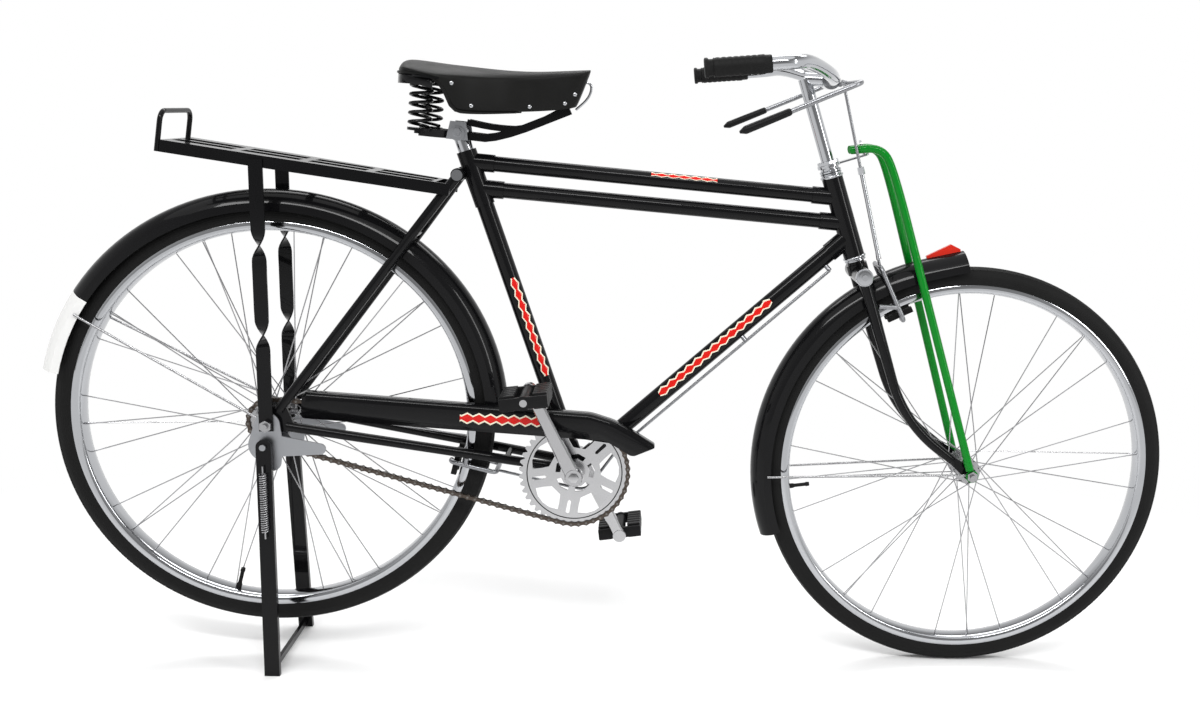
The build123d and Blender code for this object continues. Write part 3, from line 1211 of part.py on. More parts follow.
with BuildPart() as carrier_deck:
    wide = CARRIER_HALF
    narrow = CARRIER_FRONT_HALF
    with BuildSketch(DECK) as deck_outline:
        with BuildLine():
            Polyline(
                (0, -wide),
                (CARRIER_WAIST, -wide),
                (CARRIER_LENGTH, -narrow),
                (CARRIER_LENGTH, narrow),
                (CARRIER_WAIST, wide),
                (0, wide),
                close=True,
            )
        make_face()
        slat = CARRIER_LENGTH / CARRIER_SLATS
        for row in (-1, 1):
            with Locations((CARRIER_LENGTH / 2, row * narrow / 2)):
                with GridLocations(slat, 0, CARRIER_SLATS, 1):
                    Rectangle(slat - CARRIER_RAIL, narrow - CARRIER_RAIL, mode=Mode.SUBTRACT)
    extrude(deck_outline.sketch, amount=-CARRIER_PLATE)
    with BuildSketch(DECK) as edge_outline:
        for hand in OUTWARD:
            with BuildLine():
                Polyline(
                    (0, wide * hand),
                    (CARRIER_WAIST, wide * hand),
                    (CARRIER_LENGTH, narrow * hand),
                    (CARRIER_LENGTH + CARRIER_TONGUE, narrow * hand),
                    (CARRIER_LENGTH + CARRIER_TONGUE, (narrow - CARRIER_PLATE) * hand),
                    (CARRIER_LENGTH, (narrow - CARRIER_PLATE) * hand),
                    (CARRIER_WAIST, (wide - CARRIER_PLATE) * hand),
                    (0, (wide - CARRIER_PLATE) * hand),
                    close=True,
                )
            make_face()
    extrude(edge_outline.sketch, amount=-CARRIER_FLANGE)
carrier_deck.part.label = "carrier_deck"
export_step(carrier_deck.part, "parts/carrier_deck.step")

with BuildPart() as carrier_hoop:
    side = CARRIER_HALF - HOOP_RADIUS
    back = -HOOP_RADIUS - FIT_GAP
    feet = [DECK.from_local_coords(Vector(back, side * hand, -CARRIER_FLANGE)) for hand in OUTWARD]
    tops = [DECK.from_local_coords(Vector(back, side * hand, HOOP_HEIGHT)) for hand in OUTWARD]
    bent_bar([feet[0], tops[0], tops[1], feet[1]], HOOP_RADIUS, HOOP_BEND)
carrier_hoop.part.label = "carrier_hoop"
export_step(carrier_hoop.part, "parts/carrier_hoop.step")

with BuildPart() as carrier_struts:
    share = (CARRIER_REAR - STRUT_BACK) / (CARRIER_REAR + CARRIER_FRONT)
    rail = CARRIER_REAR_HEIGHT + (CARRIER_FRONT_HEIGHT - CARRIER_REAR_HEIGHT) * share
    head = Vector(REAR.X - STRUT_BACK, rail - CARRIER_PLATE - STRUT_WIDTH / 2)
    for hand in OUTWARD:
        link_plate([(REAR.X, REAR.Y, STRUT_EYE_RADIUS), (head.X, head.Y, STRUT_WIDTH / 2)],
                   hand, STRUT_SIDE, STRUT_SIDE + STRUT_PLATE)
    cross_rod(REAR_AXLE, STRUT_SIDE * 2, AXLE_RADIUS + FIT_GAP, Mode.SUBTRACT)
carrier_struts.part.label = "carrier_struts"
export_step(carrier_struts.part, "parts/carrier_struts.step")

# Seat post and the clip that holds the saddle's bars
CLIP_UP = SEAT_LUG_UP + SEAT_CLIP_HEIGHT
SEAT_ALONG = seat_at(CLIP_UP)
SEAT_CLIP = spot(SEAT_ALONG, CLIP_UP)
with BuildPart() as saddle_clip:
    cross_rod(SEAT_CLIP, SEAT_CLIP_HALF, SEAT_CLIP_RADIUS)
saddle_clip.part.label = "saddle_clip"
export_step(saddle_clip.part, "parts/saddle_clip.step")

with BuildPart() as seat_post:
    rod(SEAT_LUG_TOP, SEAT_CLIP, SEAT_POST_RADIUS)
    add(saddle_clip.part, mode=Mode.SUBTRACT)
seat_post.part.label = "seat_post"
export_step(seat_post.part, "parts/seat_post.step")

# Saddle cover: a pear-shaped shell with a deep skirt, hollow below
BARS_UP = SEAT_LUG_UP + SADDLE_BAR_HEIGHT
SADDLE_UP = BARS_UP + SADDLE_TOP_HEIGHT
SADDLE_BACK = SEAT_ALONG - SADDLE_REAR
SADDLE_TIP = SEAT_ALONG + SADDLE_NOSE


def saddle_plan(shrink, height):
    """The saddle seen from above, drawn in by a shell thickness, at a height."""
    narrow = SADDLE_NOSE_WIDTH / 2 - shrink
    base = Plane(origin=spot(0, height), x_dir=AHEAD, z_dir=ABOVE)
    with BuildSketch(base) as plan:
        with BuildLine():
            side = Spline(
                (SADDLE_BACK + shrink, 0),
                (SADDLE_BACK + SADDLE_WIDEST, SADDLE_WIDTH / 2 - shrink),
                (SADDLE_BACK + SADDLE_WAIST, SADDLE_WAIST_WIDTH / 2 - shrink),
                (SADDLE_TIP - shrink - narrow, narrow),
                tangents=[(0, 1), (1, 0)],
            )
            ThreePointArc(side @ 1, (SADDLE_TIP - shrink, 0), (SADDLE_TIP - shrink - narrow, -narrow))
            mirror(side, about=Plane(origin=base.origin, z_dir=(0, 1, 0)))
        make_face()
    return plan.sketch


def saddle_body(shrink):
    """The saddle's form drawn in by a shell thickness: its plan cut by its side view and end view."""
    top = SADDLE_UP - shrink
    low = SADDLE_UP - shrink * 2
    wide = SADDLE_WIDTH / 2
    step = SADDLE_BACK + SADDLE_CANTLE_DEPTH
    block = extrude(saddle_plan(shrink, BARS_UP), amount=SADDLE_TOP_HEIGHT * 2, mode=Mode.PRIVATE)
    with BuildSketch(flank(SADDLE_WIDTH)) as profile:
        with BuildLine():
            ridge = Spline(
                (SADDLE_BACK, top),
                (SADDLE_BACK + SADDLE_WAIST, top - SADDLE_DIP),
                (SADDLE_TIP, top + SADDLE_NOSE_RISE),
            )
            Polyline(
                ridge @ 1,
                (SADDLE_TIP - SADDLE_NOSE_LEAN, low - SADDLE_SKIRT_NOSE),
                (step, low - SADDLE_SKIRT_REAR),
                (step, low - SADDLE_CANTLE_HEIGHT),
                (SADDLE_BACK, low - SADDLE_CANTLE_HEIGHT),
                ridge @ 0,
            )
        make_face()
        fillet(profile.vertices().sort_by_distance((step, low - SADDLE_CANTLE_HEIGHT))[0], SADDLE_STEP_ROUND)
        fillet(profile.vertices().sort_by_distance((step, low - SADDLE_SKIRT_REAR))[0], SADDLE_SKIRT_ROUND)
    side_view = extrude(profile.sketch, amount=SADDLE_WIDTH * 2, mode=Mode.PRIVATE)
    end_plane = Plane(origin=spot(SADDLE_BACK - SADDLE_REAR, 0), x_dir=(0, 1, 0), z_dir=AHEAD)
    with BuildSketch(end_plane) as arch:
        with BuildLine():
            brow = ThreePointArc(
                (-wide, top - SADDLE_CROWN),
                (0, top + SADDLE_NOSE_RISE),
                (wide, top - SADDLE_CROWN),
            )
            Polyline(brow @ 1, (wide, BARS_UP - shrink), (-wide, BARS_UP - shrink), brow @ 0)
        make_face()
    end_view = extrude(arch.sketch, amount=(SADDLE_REAR + SADDLE_NOSE) * 2, mode=Mode.PRIVATE)
    return block & side_view & end_view


with BuildPart() as saddle_cover:
    add(saddle_body(0))
    add(saddle_body(SADDLE_SHELL), mode=Mode.SUBTRACT)
saddle_cover.part.label = "saddle_cover"
export_step(saddle_cover.part, "parts/saddle_cover.step")

# Cantle plate closing the raised back of the cover, the springs' upper seat
CANTLE_TOP = SADDLE_UP - SADDLE_CANTLE_HEIGHT - FIT_GAP
with BuildPart() as saddle_cantle:
    extrude(saddle_plan(0, CANTLE_TOP - CANTLE_PLATE), amount=CANTLE_PLATE)
    edge = spot(SADDLE_BACK + SADDLE_CANTLE_DEPTH - SADDLE_STEP_ROUND - FIT_GAP, CANTLE_TOP)
    split(bisect_by=Plane(origin=edge, z_dir=AHEAD), keep=Keep.BOTTOM)
saddle_cantle.part.label = "saddle_cantle"
export_step(saddle_cantle.part, "parts/saddle_cantle.step")

# Saddle frame: two bars from the rear springs through the clip and up to the nose
SPRING_ALONG = SEAT_ALONG - SPRING_BACK
with BuildPart() as saddle_frame:
    for hand in OUTWARD:
        rear_place = spot(SPRING_ALONG, BARS_UP, SPRING_SIDE * hand)
        bar_side = (SEAT_CLIP_HALF + SADDLE_BAR_RADIUS + FIT_GAP) * hand
        back_place = spot(SEAT_ALONG - SEAT_CLIP_HALF, BARS_UP, bar_side)
        clip_place = spot(SEAT_ALONG + SEAT_CLIP_HALF, BARS_UP, bar_side)
        low_place = spot(SEAT_ALONG + SADDLE_BAR_LOW, BARS_UP, SADDLE_BAR_SIDE * hand)
        nose_up = SADDLE_UP - SADDLE_SKIRT_NOSE
        nose_place = spot(SADDLE_TIP - SADDLE_BAR_NOSE, nose_up, SADDLE_NOSE_BAR * hand)
        places = [rear_place, back_place, clip_place, low_place, nose_place]
        bent_bar(places, SADDLE_BAR_RADIUS, SADDLE_BAR_BEND)
        rod(rear_place, rear_place + ABOVE * SADDLE_BAR_RADIUS * 2, SPRING_RADIUS + SPRING_WIRE / 2)
saddle_frame.part.label = "saddle_frame"
export_step(saddle_frame.part, "parts/saddle_frame.step")

# Coil springs under the back of the saddle
SPRING_FOOT = BARS_UP + SADDLE_BAR_RADIUS * 2 - FIT_GAP + SPRING_WIRE / 2
SPRING_RISE = CANTLE_TOP - CANTLE_PLATE - FIT_GAP * 3 - SPRING_WIRE / 2 - SPRING_FOOT
with BuildPart() as saddle_springs:
    for hand in OUTWARD:
        foot = spot(SPRING_ALONG, SPRING_FOOT, SPRING_SIDE * hand)
        seat = Plane(origin=foot, x_dir=AHEAD, z_dir=ABOVE)
        with BuildLine(seat) as coil:
            Helix(SPRING_RISE / SPRING_TURNS, SPRING_RISE, SPRING_RADIUS)
        with BuildSketch(Plane(origin=coil.line @ 0, z_dir=coil.line % 0)) as wire:
            Rectangle(SPRING_WIRE, SPRING_WIRE)
        sweep(wire.sketch, path=coil.line, is_frenet=True)
saddle_springs.part.label = "saddle_springs"
export_step(saddle_springs.part, "parts/saddle_springs.step")

# Stand: bracket plates on the axle and legs that swing back, joined by a bar under the tyre
STAND_PIVOT = Vector(REAR.X - STAND_PIVOT_BACK, REAR.Y - STAND_PIVOT_DROP)
LEG_SIDE = STRUT_SIDE + STRUT_PLATE + FIT_GAP
with BuildPart() as stand_brackets:
    arm = REAR + Vector(STAND_BRACKET_ARM, -STAND_BRACKET_ARM_DROP)
    belly = REAR + Vector(STAND_BELLY_AHEAD, -STAND_BELLY_DROP)
    for hand in OUTWARD:
        link_plate([(REAR.X, REAR.Y, STAND_BRACKET_RADIUS), (belly.X, belly.Y, STAND_BELLY_RADIUS),
                    (STAND_PIVOT.X, STAND_PIVOT.Y, STAND_PLATE_RADIUS)],
                   hand, BRACKET_SIDE, BRACKET_SIDE + BRACKET_PLATE)
        link_plate([(STAND_PIVOT.X, STAND_PIVOT.Y, STAND_BRACKET_RADIUS), (arm.X, arm.Y, STAND_ARM_RADIUS)],
                   hand, BRACKET_SIDE, BRACKET_SIDE + BRACKET_PLATE)
        pin = spot(STAND_PIVOT.X, STAND_PIVOT.Y, BRACKET_SIDE * hand)
        rod(pin, pin + Vector(0, (LEG_SIDE - BRACKET_SIDE + STAND_LEG_THICK + CROWN_CAP) * hand, 0),
            STAND_PIVOT_RADIUS)
    cross_rod(REAR_AXLE, STRUT_SIDE * 2, AXLE_RADIUS + FIT_GAP, Mode.SUBTRACT)
stand_brackets.part.label = "stand_brackets"
export_step(stand_brackets.part, "parts/stand_brackets.step")

PIVOT_POINT = spot(STAND_PIVOT.X, STAND_PIVOT.Y)
FOOT_X = REAR_AXLE.X + STAND_FOOT_AHEAD
with BuildPart() as stand_legs:
    for hand in OUTWARD:
        top_half = STAND_LEG_WIDTH / 2
        inner = LEG_SIDE
        low = inner + STAND_FOOT_SPREAD
        foot_plane = Plane(origin=(FOOT_X, 0, 0), x_dir=(1, 0, 0), z_dir=(0, 0, 1))
        knee_plane = Plane(origin=(PIVOT_POINT.X, 0, PIVOT_POINT.Z), x_dir=(1, 0, 0), z_dir=(0, 0, 1))
        with BuildSketch(foot_plane) as foot_section:
            with Locations((0, (low + STAND_LEG_THICK / 2) * hand)):
                Rectangle(STAND_LEG_WIDTH, STAND_LEG_THICK)
        with BuildSketch(knee_plane) as knee_section:
            with Locations((0, (inner + STAND_LEG_THICK / 2) * hand)):
                Rectangle(STAND_LEG_WIDTH, STAND_LEG_THICK)
        loft([foot_section.sketch, knee_section.sketch])
        link_plate([(STAND_PIVOT.X, STAND_PIVOT.Y, top_half)], hand, inner, inner + STAND_LEG_THICK)
        hole = spot(STAND_PIVOT.X, STAND_PIVOT.Y, 0)
        rod(hole, hole + Vector(0, low * 2 * hand, 0), STAND_PIVOT_RADIUS + RUNNING_GAP, Mode.SUBTRACT)
stand_legs.part.label = "stand_legs"
export_step(stand_legs.part, "parts/stand_legs.step")

with BuildPart() as stand_spring:
    hang = Vector(FOOT_X - PIVOT_POINT.X, -STAND_FOOT_SPREAD, -PIVOT_POINT.Z).normalized()
    outside = LEG_SIDE + STAND_LEG_THICK + STAND_SPRING_RADIUS + FIT_GAP * 2
    spring_top = PIVOT_POINT + Vector(0, -outside, 0) + hang * STAND_SPRING_START
    rod(spring_top, spring_top + hang * STAND_SPRING_LENGTH, STAND_SPRING_RADIUS)
stand_spring.part.label = "stand_spring"
export_step(stand_spring.part, "parts/stand_spring.step")

with BuildPart() as stand_bar:
    reach = LEG_SIDE + STAND_FOOT_SPREAD
    with Locations((FOOT_X, 0, STAND_BAR_RISE + STAND_BAR_DEPTH / 2)):
        Box(STAND_BAR_THICK, reach * 2, STAND_BAR_DEPTH)
    add(stand_legs.part, mode=Mode.SUBTRACT)
stand_bar.part.label = "stand_bar"
export_step(stand_bar.part, "parts/stand_bar.step")
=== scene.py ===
from math import asin, atan2, cos, pi, radians, sin, tau

import bmesh
import bpy
from mathutils import Matrix, Vector


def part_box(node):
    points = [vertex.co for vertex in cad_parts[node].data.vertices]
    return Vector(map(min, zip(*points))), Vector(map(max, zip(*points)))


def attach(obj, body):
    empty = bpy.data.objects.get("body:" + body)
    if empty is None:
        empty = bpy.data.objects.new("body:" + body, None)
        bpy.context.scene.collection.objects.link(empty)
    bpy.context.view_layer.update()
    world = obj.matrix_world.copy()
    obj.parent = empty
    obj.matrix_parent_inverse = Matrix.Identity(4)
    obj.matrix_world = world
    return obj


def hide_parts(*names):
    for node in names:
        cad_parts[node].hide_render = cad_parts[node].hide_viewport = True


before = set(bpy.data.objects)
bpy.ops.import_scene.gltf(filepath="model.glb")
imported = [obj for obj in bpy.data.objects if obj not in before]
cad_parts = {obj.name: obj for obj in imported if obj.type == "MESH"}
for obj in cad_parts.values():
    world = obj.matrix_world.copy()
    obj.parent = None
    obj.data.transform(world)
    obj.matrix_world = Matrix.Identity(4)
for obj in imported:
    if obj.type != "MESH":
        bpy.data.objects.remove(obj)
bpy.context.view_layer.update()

# ---------------------------------------------------------------- frame tubes and lugs
# The brazed steel frame: tubes in lugs, stays and bridges, stove-enamelled gloss black over
# all its joints. Plain rows of red and cream lozenges stand where the maker's transfers were.


class Wire:
    """A socket in a finish, whose sums add Math nodes."""

    def __init__(self, tree, socket=None):
        self.tree = tree
        self.socket = socket

    def node(self, kind, settings=None, inputs=None, out=0):
        made = self.tree.nodes.new("ShaderNode" + kind)
        for name, value in (settings or {}).items():
            setattr(made, name, value)
        for name, value in (inputs or {}).items():
            if isinstance(value, Wire):
                self.tree.links.new(value.socket, made.inputs[name])
            else:
                made.inputs[name].default_value = value
        return Wire(self.tree, made.outputs[out])

    def sum(self, operation, *values):
        return self.node("Math", {"operation": operation}, dict(enumerate(values)))

    def __add__(self, other):
        return self.sum("ADD", self, other)

    def __sub__(self, other):
        return self.sum("SUBTRACT", self, other)

    def __rsub__(self, other):
        return self.sum("SUBTRACT", other, self)

    def __mul__(self, other):
        return self.sum("MULTIPLY", self, other)

    def __truediv__(self, other):
        return self.sum("DIVIDE", self, other)

    def __lt__(self, other):
        return self.sum("LESS_THAN", self, other)

    def __gt__(self, other):
        return self.sum("GREATER_THAN", self, other)

    def __abs__(self):
        return self.sum("ABSOLUTE", self)

    __radd__ = __add__
    __rmul__ = __mul__

    def along(self, origin, direction):
        """How far a place lies from an origin in a direction."""
        away = self.node("VectorMath", {"operation": "SUBTRACT"}, {0: self, 1: origin})
        settings = {"operation": "DOT_PRODUCT"}
        return self.node("VectorMath", settings, {0: away, 1: direction}, "Value")

    def around(self, axle):
        """How far a place lies from an axle across the bicycle."""
        flat = self.node("VectorMath", {"operation": "MULTIPLY"}, {0: self, 1: (1.0, 0.0, 1.0)})
        hub = (axle.x, 0.0, axle.z)
        return self.node("VectorMath", {"operation": "DISTANCE"}, {0: flat, 1: hub}, "Value")

    def noise(self, scale, detail=3.0, rough=0.55):
        inputs = {"Vector": self, "Scale": scale, "Detail": detail, "Roughness": rough}
        return self.node("TexNoise", None, inputs)

    def tint(self, first, second):
        """A colour between two, by this mask."""
        return self.node("Mix", {"data_type": "RGBA"}, {0: self, 6: first, 7: second}, 2)

    def spread(self, low, high):
        """This value from 0 to 1, laid between two others."""
        return self * (high - low) + low

    def ramp(self, low, high):
        """This value from low to high as a share, held between 0 and 1."""
        inputs = {"Value": self, "From Min": low, "From Max": high}
        return self.node("MapRange", {"clamp": True}, inputs)


def finish(name, **constants):
    """A new finish: its material, its shader and the Object coordinates of its piece."""
    made = bpy.data.materials.new(name)
    made.use_nodes = True
    shader = made.node_tree.nodes["Principled BSDF"]
    for socket, value in constants.items():
        shader.inputs[socket.replace("_", " ")].default_value = value
    return made, shader, Wire(made.node_tree).node("TexCoord", out="Object")


def feed(shader, **wires):
    """Joins what changes over a surface to the shader's sockets."""
    for socket, wire in wires.items():
        wire.tree.links.new(wire.socket, shader.inputs[socket.replace("_", " ")])


def bump(height, strength, depth):
    """A bumped normal from a height."""
    inputs = {"Height": height, "Strength": strength, "Distance": depth}
    return height.node("Bump", None, inputs)


def middle(name):
    """The middle of a CAD node."""
    low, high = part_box(name)
    return (low + high) / 2


mm = 0.001
front_axle = middle("front_tyre")
rear_axle = middle("rear_tyre")
bracket = middle("cranks")
pitch = asin((rear_axle.z - front_axle.z) / (rear_axle - front_axle).length)
ahead = Vector((cos(pitch), 0, -sin(pitch)))
above = Vector((sin(pitch), 0, cos(pitch)))
across = Vector((0, 1, 0))


def level(along, up, side=0.0):
    """A place on the level bicycle, in millimetres from the front axle."""
    return front_axle + (ahead * along + above * up + across * side) * mm


RED = (0.62, 0.012, 0.008, 1.0)
CREAM = (0.8, 0.74, 0.58, 1.0)
lozenge = 19.0 * mm


def enamel(name, colour, rows=()):
    """Gloss stove enamel with orange peel, a little dust, and rows of lozenges if it has any."""
    gloss = {"Coat_Weight": 0.3, "Coat_Roughness": 0.03, "Coat_IOR": 1.45}
    made, shader, place = finish(name, Specular_IOR_Level=0.05, **gloss)
    peel = place.noise(420.0, 2.0)
    cloud = place.noise(9.0, 4.0)
    specks = (place.noise(160.0, 6.0, 0.7) > 0.69) * 0.3 * cloud
    lighter = tuple(0.015 + 0.985 * part for part in colour[:3]) + (1.0,)
    shown = (cloud * 0.2 + specks).tint(colour, lighter)
    for first, last, half_width in rows:
        run = (last - first).normalized()
        centre = (first + last) / 2
        reach = place.along(centre, run)
        cell = reach.sum("PINGPONG", reach, lozenge / 2) / lozenge
        edge = abs(place.along(centre, run.cross(across))) / half_width + cell
        within = abs(reach) < (last - first).length / 2
        shown = ((edge < 1.0) * within).tint(shown, CREAM)
        shown = ((edge < 0.72) * within).tint(shown, RED)
    feed(shader, Base_Color=shown)
    feed(shader, Roughness=cloud.spread(0.16, 0.3) + specks)
    feed(shader, Normal=bump(peel, 0.04, 0.0004))
    return made


def coat(coating, *names):
    """Gives CAD nodes a finish."""
    for name in names:
        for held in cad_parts[name].material_slots:
            held.material = coating


BLACK = (0.0025, 0.0025, 0.003, 1.0)
black_enamel = enamel("black_enamel", BLACK)
coat(black_enamel, "head_lugs", "seat_lug", "bottom_bracket", "chainstays", "seatstays")
coat(black_enamel, "rear_dropouts", "stay_bridges", "fork_crown", "fork_blades")
down_row = [(level(-544, 89), level(-371, 266), 8 * mm)]
coat(enamel("down_tube_enamel", BLACK, down_row), "down_tube")
seat_row = [(level(-803, 266), level(-735, 106), 7 * mm)]
coat(enamel("seat_tube_enamel", BLACK, seat_row), "seat_tube")
top_row = [(level(-590, 459), level(-480, 459), 3.5 * mm)]
coat(enamel("top_tube_enamel", BLACK, top_row), "top_tubes")

# ---------------------------------------------------------------- mudguards
# Rolled steel mudguards in the same enamel, on plated wire stays. The rear one ends in a
# white tail, which begins at a slanted edge above the stay.
WHITE = (0.74, 0.74, 0.73, 1.0)
coat(black_enamel, "front_mudguard")
guard_enamel = enamel("rear_guard_enamel", BLACK)
guard_shader = guard_enamel.node_tree.nodes["Principled BSDF"]
guard_place = Wire(guard_enamel.node_tree).node("TexCoord", out="Object")
guard_black = Wire(guard_enamel.node_tree, guard_shader.inputs["Base Color"].links[0].from_socket)
tail = guard_place.along(level(-1486, 178), ahead * -0.45 - above * 0.89) > 0.0
feed(guard_shader, Base_Color=tail.tint(guard_black, WHITE))
coat(guard_enamel, "rear_mudguard")


# ---------------------------------------------------------------- bright metalwork
# Chromium plate on steel: headset, stem, handlebar, levers, rods and stirrups, and duller
# zinc on the stand's plates. The plate mirrors, with faint polishing lines and a haze.
def plated(name, colour, gloss, haze, lines):
    """Plated or bare metal, whose roughness drifts from a gloss to a haze."""
    made, shader, place = finish(name, Metallic=1.0)
    cloud = place.noise(14.0, 4.0)
    grain = place.noise(lines, 3.0, 0.6)
    pale = tuple(part * 0.86 for part in colour[:3]) + (1.0,)
    feed(shader, Base_Color=cloud.tint(pale, colour))
    feed(shader, Roughness=cloud.spread(gloss, haze) + grain * 0.03)
    feed(shader, Normal=bump(grain, 0.012, 0.0003))
    return made


chrome = plated("chrome", (0.5, 0.51, 0.53, 1.0), 0.04, 0.12, 600.0)
bright_steel = plated("bright_steel", (0.42, 0.42, 0.43, 1.0), 0.18, 0.32, 900.0)
zinc = plated("zinc", (0.4, 0.41, 0.43, 1.0), 0.32, 0.5, 500.0)
crank_steel = plated("crank_steel", (0.5, 0.5, 0.51, 1.0), 0.14, 0.28, 700.0)
chain_steel = plated("chain_steel", (0.1, 0.082, 0.07, 1.0), 0.3, 0.46, 500.0)
rod_chrome = plated("rod_chrome", (0.32, 0.325, 0.34, 1.0), 0.28, 0.4, 600.0)
coat(chrome, "headset_cups", "fork_fittings", "stem", "seat_post", "seat_bolt")
coat(rod_chrome, "brake_levers", "front_brake", "rear_brake")
coat(bright_steel, "front_spokes", "rear_spokes", "front_hub", "rear_hub", "front_axle")
coat(bright_steel, "rear_axle", "front_mudguard_stays", "rear_mudguard_stays", "freewheel")
coat(zinc, "stand_brackets", "saddle_clip")


# ---------------------------------------------------------------- tyres
# Wired-on roadster tyres: round black carcass, a smooth centre tread with a row of raised
# blocks on each shoulder, and moulded rings on the walls.
def moulded(name, colour, gloss, grain_size, depth):
    """Moulded rubber, plastic or hide: grained, and dusty in patches."""
    made, shader, place = finish(name, Specular_IOR_Level=0.11)
    grain = place.noise(grain_size, 4.0, 0.65)
    cloud = place.noise(22.0, 5.0)
    dusty = tuple(0.006 + 0.994 * part for part in colour[:3]) + (1.0,)
    feed(shader, Base_Color=(cloud * 0.7).tint(colour, dusty))
    feed(shader, Roughness=cloud.spread(gloss, gloss + 0.18))
    feed(shader, Normal=bump(grain, 0.25, depth))
    return made


def piece(name, mesh, body, coatings, nodes=(), sharp=40):
    """Makes a mesh into a piece that rides on a body, in place of CAD nodes."""
    bmesh.ops.recalc_face_normals(mesh, faces=mesh.faces)
    data = bpy.data.meshes.new(name)
    mesh.to_mesh(data)
    mesh.free()
    for coating in coatings:
        data.materials.append(coating)
    data.shade_smooth()
    data.set_sharp_from_angle(angle=radians(sharp))
    made = bpy.data.objects.new(name, data)
    bpy.context.scene.collection.objects.link(made)
    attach(made, body)
    if nodes:
        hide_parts(*nodes)
    return made


def spun(mesh, centre, axis, outline, steps):
    """A ring spun round an axis from an outline of radii and reaches along it, in millimetres."""
    out = axis.cross(Vector((1, 0, 0))).normalized()
    points = [mesh.verts.new(centre + (out * radius + axis * reach) * mm) for radius, reach in outline]
    edges = [mesh.edges.new(pair) for pair in zip(points, points[1:] + points[:1])]
    turn = {"cent": centre, "axis": axis, "angle": tau, "steps": steps, "use_merge": True}
    bmesh.ops.spin(mesh, geom=points + edges, **turn)
    bmesh.ops.recalc_face_normals(mesh, faces=mesh.faces)


def both_halves(outline):
    """A whole outline from the half on one side of the wheel."""
    return outline + [(radius, -side) for radius, side in reversed(outline)]


tyre_half = [(318, 11), (320, 14.5), (326, 17.9), (333, 19), (339, 18.6), (344, 17), (348, 14.2)]
tyre_half += [(351.6, 10.6), (353.8, 7), (354.7, 3.6), (355, 1)]
tread_steps = 170
tread_inner, tread_outer = 10.6, 14.2
wall_ring_pitch = 3.4 * mm
wheels = (("front", front_axle), ("rear", rear_axle))
for wheel, axle in wheels:
    tyre = bmesh.new()
    spun(tyre, axle, across, both_halves(tyre_half), tread_steps)
    shoulder = []
    for face in tyre.faces:
        side = abs((face.calc_center_median() - axle).y) / mm
        if tread_inner < side < tread_outer:
            shoulder.append(face)
    blocks = {"thickness": 1.3 * mm, "depth": 0.9 * mm, "use_even_offset": True}
    bmesh.ops.inset_individual(tyre, faces=shoulder, **blocks)
    rubber = moulded(wheel + "_tyre_rubber", (0.006, 0.006, 0.006, 1.0), 0.5, 900.0, 0.0004)
    shader = rubber.node_tree.nodes["Principled BSDF"]
    place = Wire(rubber.node_tree).node("TexCoord", out="Object")
    far_out = place.around(axle)
    rings = far_out.sum("SINE", far_out * (tau / wall_ring_pitch))
    feed(shader, Normal=bump(rings + place.noise(900.0), 0.2, 0.0003))
    piece(wheel + "_tyre_skin", tyre, wheel + "_wheel", [rubber], [wheel + "_tyre"])

# ---------------------------------------------------------------- rims
# Chromed rims of the rod-brake pattern: a shallow channel whose two edges roll over into
# round beads, which the shoes press from the hub's side.
rim_half = [(317.4, 2), (317.5, 11.5), (321, 13), (325, 14.6), (325.2, 17), (322.4, 18.5)]
rim_half += [(317.5, 18.5), (313.4, 17.4), (311, 14.8), (310.3, 11.2), (309.4, 8), (309.2, 4)]
rim_half += [(309.1, 1)]
rim_steps = 128
for wheel, axle in wheels:
    rim = bmesh.new()
    spun(rim, axle, across, both_halves(rim_half), rim_steps)
    piece(wheel + "_rim_ring", rim, wheel + "_wheel", [chrome], [wheel + "_rim"])


# ---------------------------------------------------------------- tyre valves
# A rubber-covered valve stem through each rim, thicker at its foot, with a wider cap that
# points to the hub.
def ring(radius, sides=14, flat=1.0):
    """A round outline in metres from a radius in millimetres, flattened one way if asked."""
    turns = [tau * number / sides for number in range(sides)]
    return [(radius * mm * cos(turn), radius * mm * flat * sin(turn)) for turn in turns]


def frames_along(points):
    """Frames along a path that stand square to it and keep their turn."""
    turn = (points[1] - points[0]).to_track_quat("Z", "Y")
    frames = []
    for number, point in enumerate(points):
        heading = points[min(number + 1, len(points) - 1)] - points[max(number - 1, 0)]
        turn = (turn @ Vector((0, 0, 1))).rotation_difference(heading) @ turn
        frames.append(Matrix.Translation(point) @ turn.to_matrix().to_4x4())
    return frames


def swept(mesh, frames, outlines, closed=True):
    """A skin carried through outlines, one at each frame; a closed one has its ends filled."""
    loops = []
    for held, outline in zip(frames, outlines):
        points = [mesh.verts.new(held @ Vector((x, y, 0))) for x, y in outline]
        ends = points[1:] + points[:1] if closed else points[1:]
        loops.append([mesh.edges.new(pair) for pair in zip(points, ends)])
    for first, second in zip(loops, loops[1:]):
        bmesh.ops.bridge_loops(mesh, edges=first + second)
    if closed:
        for rim in (loops[0], loops[-1]):
            bmesh.ops.edgeloop_fill(mesh, edges=rim)


def lathe(mesh, start, end, profile, sides=14, flat=1.0):
    """A turned piece between two points, from shares of its length and radii in millimetres."""
    points = [start.lerp(end, share) for share, radius in profile]
    swept(mesh, frames_along(points), [ring(radius, sides, flat) for share, radius in profile])


